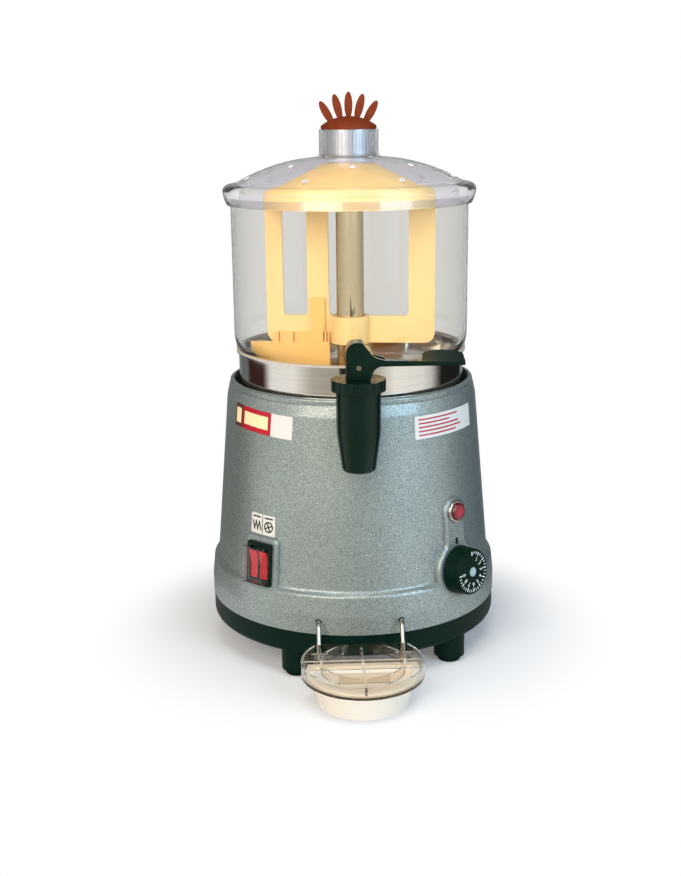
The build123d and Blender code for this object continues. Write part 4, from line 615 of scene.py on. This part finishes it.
# %% Left plate
label_height = 215.4
label_tall = 19.5
vinyl = {"Specular IOR Level": 0.35}
print_white = moulded("white_vinyl", "#d8d4cd", "#e1ddd6", 14, 0.5, 0.004, 0.38, vinyl)
print_red = moulded("red_vinyl", "#a90d23", "#bb1a2c", 14, 0.5, 0.004, 0.38, vinyl)
print_cream = moulded("cream_vinyl", "#f6dfa6", "#fbe9bb", 14, 0.5, 0.004, 0.38, vinyl)
print_dark = moulded("dark_brown_vinyl", "#4a2a20", "#5c382b", 14, 0.5, 0.004, 0.38, vinyl)
left_angle = -46.7
left_height = label_height + 2.4
left_tilt = -2.0
left_ends = [(-29.5, 0, 13, label_tall)]
left_fields = [(-4.4, 0, 37, label_tall)]
left_signs = [(25, 0, 21.5, label_tall)]
panels = [(-4.4, 0.3, 30.5, 11), (-29.5, 0, 8, 13)]
print_plate("plate_left_dark", left_angle, left_height, left_ends, 0.0, print_dark, left_tilt)
print_plate("plate_left_red", left_angle, left_height, left_fields, 0.0, print_red, left_tilt)
print_plate("plate_left_cream", left_angle, left_height, panels, plate_mm, print_cream, left_tilt)
print_plate("plate_left_white", left_angle, left_height, left_signs, 0.0, print_white, left_tilt)

# %% Right plate
right_angle = 44.0
right_wide = 73
line_start = -33
line_pitch = 3.3
line_tall = 1.1
line_lengths = (46, 35, 47, 50, 43)
right_ground = [(0, 0, right_wide, label_tall)]
lines = [
    (line_start + length / 2, (2 - row) * line_pitch, length, line_tall)
    for row, length in enumerate(line_lengths)
]
print_plate("plate_right_white", right_angle, label_height, right_ground, 0.0, print_white)
print_plate("plate_right_lines", right_angle, label_height, lines, plate_mm, print_red)

# %% [markdown]
# ### Plate above the switch
# A small plate shows what the two rockers do: a zigzag for the heater and a wheel for the mixer. The zigzag
# is a row of bars that lean to and fro. The wheel's rim is made by bridging two circles, which a disc with a
# Boolean hole could give too, with more faces.

# %% Plate above the switch
print_black = moulded("black_ink", "#0b0d0c", "#151716", 6, 0.4, 0.004, 0.45, vinyl)
switch_plate_angle = -42.2
switch_plate_height = 130.4
switch_plate = (0, 0, 27, 17.5)
print_plate("plate_switch", switch_plate_angle, switch_plate_height, [switch_plate], 0.0, print_white)

# %% Marks on the plate
mark_side = 6.8
mark_wide = 1.1
zigzag_strokes = 5
zigzag_start = -10.4
zigzag_pitch = 1.9
zigzag_lean = math.radians(17)
wheel_drop = -1.2
wheel_radius = 4.8
wheel_segments = 32
spoke_length = 7.2
spoke_turn = 0.4
bm = bmesh.new()
add_bar(bm, 0, 0, 0.5, 16.5, plate_mm, plate_mm)
for stroke in range(zigzag_strokes):
    x = zigzag_start + zigzag_pitch * stroke
    add_bar(bm, x, -1.4, mark_wide, 8.5, plate_mm, plate_mm, turn=zigzag_lean * (-1) ** stroke)
for side in (-1, 1):
    add_bar(bm, mark_side * side, 6.2, 9, 1.2, plate_mm, plate_mm)
rim = []
for radius in (wheel_radius, wheel_radius - mark_wide):
    rim += bmesh.ops.create_circle(bm, segments=wheel_segments, radius=radius * mm)["verts"]
disc = bmesh.ops.bridge_loops(bm, edges=linked(rim, "link_edges"))["faces"]
rim += thicken(bm, disc, plate_mm * mm)
bmesh.ops.translate(bm, vec=(mark_side * mm, wheel_drop * mm, plate_mm * mm), verts=rim)
for turn in (spoke_turn, spoke_turn + math.pi / 2):
    add_bar(bm, mark_side, wheel_drop, spoke_length, mark_wide, plate_mm, plate_mm, turn=turn)
bmesh.ops.recalc_face_normals(bm, faces=bm.faces)
wrap(bm, math.radians(switch_plate_angle), switch_plate_height * mm)
finish_piece(bm, "plate_switch_marks", print_black, "base")

# %% [markdown]
# ## Dial scale
# The dial's face carries a white scale of strokes and plain numbers, printed in a thin raised ink. The dial
# leans with the housing, so its scale is drawn flat and then placed by the dial's own turning axis, which the
# frame gives. Text curves make the numbers, and as meshes they join the strokes in one piece, which rides on
# the dial.

# %% Place of the dial's face
face_depth = 0.02 * mm
dial_axis = Vector(joints["dial_turn"]["axis"])
dial_middle = Vector(joints["dial_turn"]["pos_m"])
dial_points = [vert.co - dial_middle for vert in nodes["dial"].data.vertices]
dial_face = max(point.dot(dial_axis) for point in dial_points)
face_radius = max(
    (point - dial_axis * point.dot(dial_axis)).length
    for point in dial_points if point.dot(dial_axis) > dial_face - face_depth
)
dial_right = Vector((0, 0, 1)).cross(dial_axis).normalized()
dial_up = dial_axis.cross(dial_right)
dial_turned = Matrix((dial_right, dial_up, dial_axis)).transposed().to_4x4()
dial_place = Matrix.Translation(dial_middle + dial_axis * dial_face) @ dial_turned
print("dial face radius", round(face_radius / mm, 2), "mm")

# %% Dial scale
weld = 0.001 * mm
ink = 0.15 * mm
scale_sweep = math.radians(270)
scale_numbers = 9
strokes_per_number = 3
long_stroke = (0.9 * mm, 3.4 * mm)
short_stroke = (0.6 * mm, 2.2 * mm)
stroke_margin = 1.0 * mm
number_size = 5.2 * mm
number_inset = 7.6 * mm
print_ink = moulded("white_ink", "#d9e2df", "#eef4f1", 5, 0.4, 0.004, 0.5, vinyl)

bm = bmesh.new()
strokes = scale_numbers * strokes_per_number
for stroke in range(strokes + 1):
    width, length = short_stroke if stroke % strokes_per_number else long_stroke
    made = bmesh.ops.create_cube(bm, size=1.0)["verts"]
    bmesh.ops.scale(bm, vec=(width, length, ink), verts=made)
    bmesh.ops.translate(bm, vec=(0, face_radius - stroke_margin - length / 2, ink / 2), verts=made)
    turn = -scale_sweep * stroke / strokes
    bmesh.ops.rotate(bm, matrix=Matrix.Rotation(turn, 3, "Z"), verts=made)
for number in range(1, scale_numbers + 1):
    words = bpy.data.curves.new("number", "FONT")
    words.body = str(number)
    words.size = number_size
    words.align_x = "CENTER"
    words.align_y = "CENTER"
    words.extrude = ink / 2
    drawn = bpy.data.objects.new("number", words)
    flat = bpy.data.meshes.new_from_object(drawn)
    turn = Matrix.Rotation(-scale_sweep * number / scale_numbers, 4, "Z")
    flat.transform(turn @ Matrix.Translation((0, face_radius - number_inset, ink / 2)))
    bm.from_mesh(flat)
    bpy.data.objects.remove(drawn)
bmesh.ops.remove_doubles(bm, verts=bm.verts, dist=weld)
bmesh.ops.recalc_face_normals(bm, faces=bm.faces)
bmesh.ops.transform(bm, matrix=dial_place, verts=bm.verts)
finish_piece(bm, "dial_scale", print_ink, "dial")

# %% [markdown]
# ### Pointer
# A black pointer on the housing shows where the dial is set. It is a flat oval, wrapped on the wall like the
# plates, and it stays on the base when the dial turns.

# %% Pointer above the dial
pointer_rise = 25.2
pointer_half = (1.9 * mm, 3.2 * mm, 1)
bm = bmesh.new()
made = bmesh.ops.create_circle(bm, cap_ends=True, segments=20, radius=1.0)["verts"]
bmesh.ops.scale(bm, vec=pointer_half, verts=made)
thicken(bm, bm.faces[:], plate_mm * mm)
bmesh.ops.recalc_face_normals(bm, faces=bm.faces)
dial_angle = math.atan2(dial_middle.x, -dial_middle.y)
wrap(bm, dial_angle, dial_middle.z + pointer_rise * mm)
finish_piece(bm, "dial_pointer", print_black, "base")

# %% [markdown]
# ## Vent beads
# Steam leaves through two rings of small holes in the lid. Each has a raised bead round it, which shows as a
# bright dot; that dot is a painted highlight, as the beads are a near-white colour on the clear lid. A bead
# is a small circle spun round an axis, and the lid's own surface, found with rays from above, says how high
# it sits and how it leans.

# %% Vent beads
vent_circles = (90.0, 64.0)
vent_count = 7
vent_offsets = (0.5, 0.0)
bead_ring = 1.9
bead_section = 0.5
lid = nodes["lid"]
lid_top = cad_box[1].z + 10 * mm
# Near-white, lavender-tinted colour: a painted highlight for the bright dot each bead shows.
bead_painted_highlight = moulded("frosted_polycarbonate", "#eceaf2", "#faf9fd", 3, 0.4, 0.004, 0.25)


def on_lid(x, y):
    """Point of the lid's upper surface above a place in plan."""
    return lid.ray_cast(Vector((x, y, lid_top)), Vector((0, 0, -1)))[1]


bm = bmesh.new()
for circle, offset in zip(vent_circles, vent_offsets):
    for vent in range(vent_count):
        turn = 2 * math.pi * (vent - offset) / vent_count - math.pi / 2
        middle = Vector((math.cos(turn), math.sin(turn), 0)) * circle * mm
        side = Vector((-math.sin(turn), math.cos(turn), 0)) * bead_ring * mm
        out = middle.normalized() * bead_ring * mm
        inner, outer = on_lid(*(middle - out).xy), on_lid(*(middle + out).xy)
        lean = (outer - inner).normalized()
        place = Matrix((lean, side.normalized(), lean.cross(side.normalized()))).transposed().to_4x4()
        made = bmesh.ops.create_circle(bm, segments=8, radius=bead_section * mm)["verts"]
        bmesh.ops.rotate(bm, matrix=Matrix.Rotation(math.pi / 2, 3, "X"), verts=made)
        bmesh.ops.translate(bm, vec=(bead_ring * mm, 0, 0), verts=made)
        edges = linked(made, "link_edges")
        bmesh.ops.spin(
            bm, geom=made + edges, cent=(0, 0, 0), axis=(0, 0, 1), angle=2 * math.pi, steps=20, use_merge=True
        )
        ring = [vert for vert in bm.verts if vert.co.length < 2 * bead_ring * mm]
        bmesh.ops.transform(bm, matrix=Matrix.Translation((inner + outer) / 2) @ place, verts=ring)
bmesh.ops.remove_doubles(bm, verts=bm.verts, dist=weld)
bmesh.ops.recalc_face_normals(bm, faces=bm.faces)
finish_piece(bm, "vent_beads", bead_painted_highlight, "lid")

# %% [markdown]
# ## Screws
# The CAD screws are plain discs on stems. A pan-head screw has a rounded head with a cross recess. The head
# is a profile spun round its axis, and the recess is cut with a Boolean modifier, whose result is copied to
# each screw of the node. Where each screw sits and points is read from the node's separate islands.

# %% Screw heads
head_segments = 32
recess_length = 1.15
recess_width = 0.28


def screw_head(radius, height):
    """A rounded head on z = 0 with a cross recess in its top."""
    bm = bmesh.new()
    shares = [(0, 1), (0.45, 0.96), (0.8, 0.74), (1, 0.3), (1, 0)]
    profile = [bm.verts.new((x * radius, 0, z * height)) for x, z in shares]
    edges = [bm.edges.new(pair) for pair in zip(profile, profile[1:])]
    bmesh.ops.spin(
        bm, geom=profile + edges, cent=(0, 0, 0), axis=(0, 0, 1), angle=2 * math.pi,
        steps=head_segments, use_merge=True,
    )
    bmesh.ops.remove_doubles(bm, verts=bm.verts, dist=weld)
    bmesh.ops.holes_fill(bm, edges=bm.edges, sides=head_segments)
    bmesh.ops.recalc_face_normals(bm, faces=bm.faces)
    head_mesh = bpy.data.meshes.new("head")
    bm.to_mesh(head_mesh)
    bm.free()
    bm = bmesh.new()
    for turn in (0, math.pi / 2):
        made = bmesh.ops.create_cube(bm, size=1.0)["verts"]
        bmesh.ops.scale(bm, vec=(recess_length * radius, recess_width * radius, height), verts=made)
        bmesh.ops.rotate(bm, matrix=Matrix.Rotation(turn, 3, "Z"), verts=made)
        bmesh.ops.translate(bm, vec=(0, 0, height), verts=made)
    cutter_mesh = bpy.data.meshes.new("cross")
    bm.to_mesh(cutter_mesh)
    bm.free()
    head = bpy.data.objects.new("head", head_mesh)
    cutter = bpy.data.objects.new("cross", cutter_mesh)
    for item in (head, cutter):
        bpy.context.scene.collection.objects.link(item)
    cut = head.modifiers.new("recess", "BOOLEAN")
    cut.object = cutter
    cut.use_self = True
    graph = bpy.context.evaluated_depsgraph_get()
    result = bpy.data.meshes.new_from_object(head.evaluated_get(graph))
    for item in (head, cutter):
        bpy.data.objects.remove(item)
    return result


# %% Screws of a node
end_depth = 0.1 * mm
head_edge = 0.9
stem_taper = 0.7


def islands(name):
    """The separate solids of a node, each as a list of points."""
    bm = bmesh.new()
    bm.from_mesh(nodes[name].data)
    bmesh.ops.remove_doubles(bm, verts=bm.verts, dist=weld)
    left, found = dict.fromkeys(bm.verts), []
    while left:
        stack, island = [left.popitem()[0]], []
        while stack:
            vert = stack.pop()
            island.append(vert.co.copy())
            for edge in vert.link_edges:
                other = edge.other_vert(vert)
                if other in left:
                    del left[other]
                    stack.append(other)
        found.append(island)
    bm.free()
    return found


def screws(name, outward, finish):
    """Replaces a node of plain screws by screws with cross heads that face outward(middle)."""
    bm = bmesh.new()
    for island in islands(name):
        middle = sum(island, Vector()) / len(island)
        out = outward(middle)
        along = [(point - middle).dot(out) for point in island]
        radial = [((point - middle) - out * a).length for point, a in zip(island, along)]
        radius = max(radial)
        stem = min(r for r, a in zip(radial, along) if a < min(along) + end_depth)
        under = min(a for r, a in zip(radial, along) if r > head_edge * radius)
        height = max(along) - under
        head = screw_head(radius, height)
        place = out.to_track_quat("Z", "Y").to_matrix().to_4x4()
        head.transform(Matrix.Translation(middle + out * under) @ place)
        bm.from_mesh(head)
        length = under - min(along)
        made = bmesh.ops.create_cone(
            bm, cap_ends=True, segments=20, radius1=stem * stem_taper, radius2=stem, depth=length
        )["verts"]
        seat = Matrix.Translation(middle + out * (under - length / 2))
        bmesh.ops.transform(bm, matrix=seat @ place, verts=made)
    finish_piece(bm, name + "_cross", finish, "base", [name])


def radial_out(middle):
    """Level, away from the machine's axis."""
    return Vector((middle.x, middle.y, 0)).normalized()


def down(middle):
    """Straight down, wherever the screw is."""
    return Vector((0, 0, -1))


screws("shell_screws", radial_out, zinc)
screws("foot_screws", down, zinc)

# %% [markdown]
# ## Tap spring
# A coil spring in the tap presses the piston down. The CAD solid marks only the room that it takes. A coil
# could be drawn as a curve, but a small circle spun round an axis while it climbs makes it in one step. It
# rides on the piston and has a mesh of its own.

# %% Tap spring
spring_turns = 5
turn_steps = 24
wire_sides = 10
wire_radius = 0.75 * mm
spring_low, spring_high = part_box("tap_spring")
spring_height = spring_high.z - spring_low.z
spring_foot = Vector(((spring_low.x + spring_high.x) / 2, (spring_low.y + spring_high.y) / 2, spring_low.z))
coil_radius = (spring_high.x - spring_low.x) / 2 - wire_radius
climb = (spring_height - 2 * wire_radius) / (spring_turns * turn_steps)
bm = bmesh.new()
section = bmesh.ops.create_circle(bm, segments=wire_sides, radius=wire_radius)["verts"]
bmesh.ops.rotate(bm, matrix=Matrix.Rotation(math.pi / 2, 3, "X"), verts=section)
bmesh.ops.translate(bm, vec=(coil_radius, 0, wire_radius), verts=section)
edges = linked(section, "link_edges")
bmesh.ops.spin(
    bm, geom=section + edges, cent=(0, 0, 0), axis=(0, 0, 1), dvec=(0, 0, climb),
    angle=2 * math.pi * spring_turns, steps=spring_turns * turn_steps,
)
bmesh.ops.holes_fill(bm, edges=bm.edges, sides=wire_sides)
bmesh.ops.recalc_face_normals(bm, faces=bm.faces)
bmesh.ops.translate(bm, vec=spring_foot, verts=bm.verts)
coil = finish_piece(bm, "tap_spring_coil", ground_shaft, "piston", ["tap_spring"])
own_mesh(coil)

# %% [markdown]
# ## The room
# The machine is shown on white, but a white world would wash it out. So the world is bright only to rays that
# see it directly, in a reflection or through something clear, and weak as a light. A mirrored plain white
# would also leave the steel flat. In reflections the room is therefore bright at the sides, dimmer in front,
# where the viewer stands, and dark behind, a little turned as a real room would be.

# %% What the room looks like
def seen_rays(tree):
    """1 for rays that see the background directly, in a reflection or through something clear."""
    path = add_node(tree, "ShaderNodeLightPath")
    mirrored = add_node(
        tree, "ShaderNodeMath", {0: path.outputs["Is Camera Ray"], 1: path.outputs["Is Glossy Ray"]},
        operation="MAXIMUM",
    )
    return add_node(
        tree, "ShaderNodeMath", {0: mirrored.outputs["Value"], 1: path.outputs["Is Transmission Ray"]},
        operation="MAXIMUM",
    ).outputs["Value"]


room_back_way = (0.17, 0.985, 0.0)
room_back = "#94999b"
room_front = "#b0aca2"
room_between = {0.14: "#6a7072", 0.3: "#6e7476", 0.58: "#f6f6f6", 0.82: "#ffffff", 0.93: "#c0bcb2"}


def surroundings(tree, direction):
    """White where it is seen; in reflections a room with bright sides, by how far back a direction points."""
    back = add_node(tree, "ShaderNodeVectorMath", {0: direction, 1: room_back_way}, operation="DOT_PRODUCT")
    frontness = add_node(
        tree, "ShaderNodeMapRange", {"Value": back.outputs["Value"], "From Min": 1.0, "From Max": -1.0}
    )
    room = add_node(tree, "ShaderNodeValToRGB", {"Fac": frontness.outputs["Result"]})
    room.color_ramp.elements[0].color = linear(room_back)
    room.color_ramp.elements[1].color = linear(room_front)
    for position, shade in room_between.items():
        room.color_ramp.elements.new(position).color = linear(shade)
    path = add_node(tree, "ShaderNodeLightPath")
    mirrored = add_node(
        tree, "ShaderNodeMath", {0: path.outputs["Is Glossy Ray"], 1: path.outputs["Is Transmission Ray"]},
        operation="SUBTRACT", use_clamp=True,
    )
    return add_node(
        tree, "ShaderNodeMix",
        {"Factor": mirrored.outputs["Value"], "A": linear("#ffffff"), "B": room.outputs["Color"]},
        data_type="RGBA",
    ).outputs["Result"]


# %% World
world_light = 0.24
ceiling_light = 0.3
ceiling_from = 0.15
ceiling_to = 0.75
world = bpy.data.worlds.new("white_room")
world.use_nodes = True
bpy.context.scene.world = world
tree = world.node_tree
lighting = tree.nodes["Background"]
lighting.inputs["Color"].default_value = linear("#ffffff")
lighting.inputs["Strength"].default_value = world_light
around_us = add_node(tree, "ShaderNodeTexCoord").outputs["Generated"]
heading = add_node(tree, "ShaderNodeSeparateXYZ", {"Vector": around_us})
ceiling = add_node(
    tree, "ShaderNodeMapRange",
    {
        "Value": heading.outputs["Z"], "From Min": ceiling_from, "From Max": ceiling_to,
        "To Min": 1.0, "To Max": ceiling_light,
    },
)
shown = add_node(
    tree, "ShaderNodeBackground",
    {"Color": surroundings(tree, around_us), "Strength": ceiling.outputs["Result"]},
)
choice = add_node(
    tree, "ShaderNodeMixShader",
    {"Fac": seen_rays(tree), 1: lighting.outputs["Background"], 2: shown.outputs["Background"]},
)
tree.links.new(choice.outputs["Shader"], tree.nodes["World Output"].inputs["Surface"])
bpy.context.scene.view_settings.view_transform = "Standard"
print("world light", world_light)

# %% [markdown]
# ## The floor
# The floor is a pale disc. Close to the machine it takes the shadow, and further out it fades to plain white
# light, so that no horizon shows. A shadow catcher would need the compositor. In reflections the floor has
# the tones of the room.

# %% Floor
floor_radius = 6.0
fade_from = 0.14
fade_to = 0.25
fade_least = 0.15
bm = bmesh.new()
bmesh.ops.create_circle(bm, cap_ends=True, segments=64, radius=floor_radius)
floor_mesh = bpy.data.meshes.new("floor")
bm.to_mesh(floor_mesh)
bm.free()
floor = bpy.data.objects.new("floor", floor_mesh)
bpy.context.scene.collection.objects.link(floor)
floor_white, tree, shader = new_finish(
    "pale_floor", {"Base Color": linear("#fafafa"), "Roughness": 0.7, "Specular IOR Level": 0.2}
)
where = add_node(tree, "ShaderNodeTexCoord").outputs["Object"]
reach = add_node(tree, "ShaderNodeVectorMath", {0: where}, operation="LENGTH")
fade = add_node(
    tree, "ShaderNodeMapRange",
    {
        "Value": reach.outputs["Value"], "From Min": fade_from, "From Max": fade_to,
        "To Min": fade_least, "To Max": 1.0,
    },
    interpolation_type="SMOOTHSTEP",
)
amount = add_node(
    tree, "ShaderNodeMath", {0: fade.outputs["Result"], 1: seen_rays(tree)}, operation="MULTIPLY"
)
outward = add_node(tree, "ShaderNodeVectorMath", {0: where}, operation="NORMALIZE")
white = add_node(
    tree, "ShaderNodeEmission", {"Color": surroundings(tree, outward.outputs["Vector"]), "Strength": 1.0}
)
mix = add_node(
    tree, "ShaderNodeMixShader",
    {"Fac": amount.outputs["Value"], 1: shader.outputs["BSDF"], 2: white.outputs["Emission"]},
)
tree.links.new(mix.outputs["Shader"], tree.nodes["Material Output"].inputs["Surface"])
floor_mesh.materials.append(floor_white)
print("floor radius", floor_radius)

# %% [markdown]
# ## Lamps
# Three soft lamps do the lighting, as in a small studio: a large warm one at the upper left, a weaker cool
# one at the right and one above. A sun lamp would be simpler, but its shadows are hard and it has no shape
# that a glossy piece could mirror.

# %% Lamps
def lamp(name, place, aim, size, power, colour):
    """A square soft lamp that looks from its place at a point."""
    data = bpy.data.lights.new(name, "AREA")
    data.size = size
    data.energy = power
    data.color = linear(colour)[:3]
    made = bpy.data.objects.new(name, data)
    look = (Vector(aim) - Vector(place)).to_track_quat("-Z", "Y")
    made.matrix_world = Matrix.Translation(place) @ look.to_matrix().to_4x4()
    bpy.context.scene.collection.objects.link(made)
    print("lamp", name, power, "W")


middle = (0.0, 0.0, 0.26)
lamp("key_left", (-0.85, -1.6, 1.0), middle, 1.4, 29, "#fff6ea")
lamp("fill_right", (1.1, -1.25, 0.8), middle, 1.0, 17, "#bce0ff")
lamp("top", (0.0, -0.75, 1.75), middle, 0.9, 9, "#ffffff")

# %% [markdown]
# ## Cards
# Photographers put dark cards beside shiny things to give them dark edges. Two stand at the machine's sides,
# with soft ends. They are seen only in reflections, so they throw no shadow and the camera doesn't find them.

# %% Cards
def card(name, place, turn, width, height, colour, soft):
    """A dark card, seen only in reflections; it fades out from soft times its half width."""
    bm = bmesh.new()
    bmesh.ops.create_grid(bm, x_segments=1, y_segments=1, size=0.5)
    bmesh.ops.scale(bm, vec=(width, height, 1), verts=bm.verts)
    bmesh.ops.rotate(bm, matrix=Matrix.Rotation(math.pi / 2, 3, "X"), verts=bm.verts)
    bmesh.ops.rotate(bm, matrix=Matrix.Rotation(turn, 3, "Z"), verts=bm.verts)
    bmesh.ops.translate(bm, vec=place, verts=bm.verts)
    mesh = bpy.data.meshes.new(name)
    bm.to_mesh(mesh)
    bm.free()
    finish, tree, shader = new_finish(name + "_cloth", {"Base Color": linear(colour), "Roughness": 0.9})
    where = add_node(tree, "ShaderNodeTexCoord").outputs["Object"]
    along = add_node(tree, "ShaderNodeSeparateXYZ", {"Vector": where}).outputs["Y"]
    off = add_node(tree, "ShaderNodeMath", {0: along, 1: place[1]}, operation="SUBTRACT").outputs["Value"]
    reach = add_node(tree, "ShaderNodeMath", {0: off}, operation="ABSOLUTE").outputs["Value"]
    edge = add_node(
        tree, "ShaderNodeMapRange",
        {"Value": reach, "From Min": soft * width / 2, "From Max": width / 2, "To Min": 0.0, "To Max": 1.0},
        interpolation_type="SMOOTHSTEP",
    )
    clear = add_node(tree, "ShaderNodeBsdfTransparent")
    mix = add_node(
        tree, "ShaderNodeMixShader",
        {"Fac": edge.outputs["Result"], 1: shader.outputs["BSDF"], 2: clear.outputs["BSDF"]},
    )
    tree.links.new(mix.outputs["Shader"], tree.nodes["Material Output"].inputs["Surface"])
    mesh.materials.append(finish)
    made = bpy.data.objects.new(name, mesh)
    bpy.context.scene.collection.objects.link(made)
    made.visible_camera = False
    made.visible_diffuse = False
    made.visible_transmission = False
    made.visible_shadow = False
    print("card", name)


card("card_left", (-0.30, 0.05, 0.112), math.radians(90), 0.25, 0.22, "#4a1c14", 0.45)
card("card_right", (0.30, 0.12, 0.118), math.radians(-90), 0.44, 0.23, "#0a0d10", 0.6)
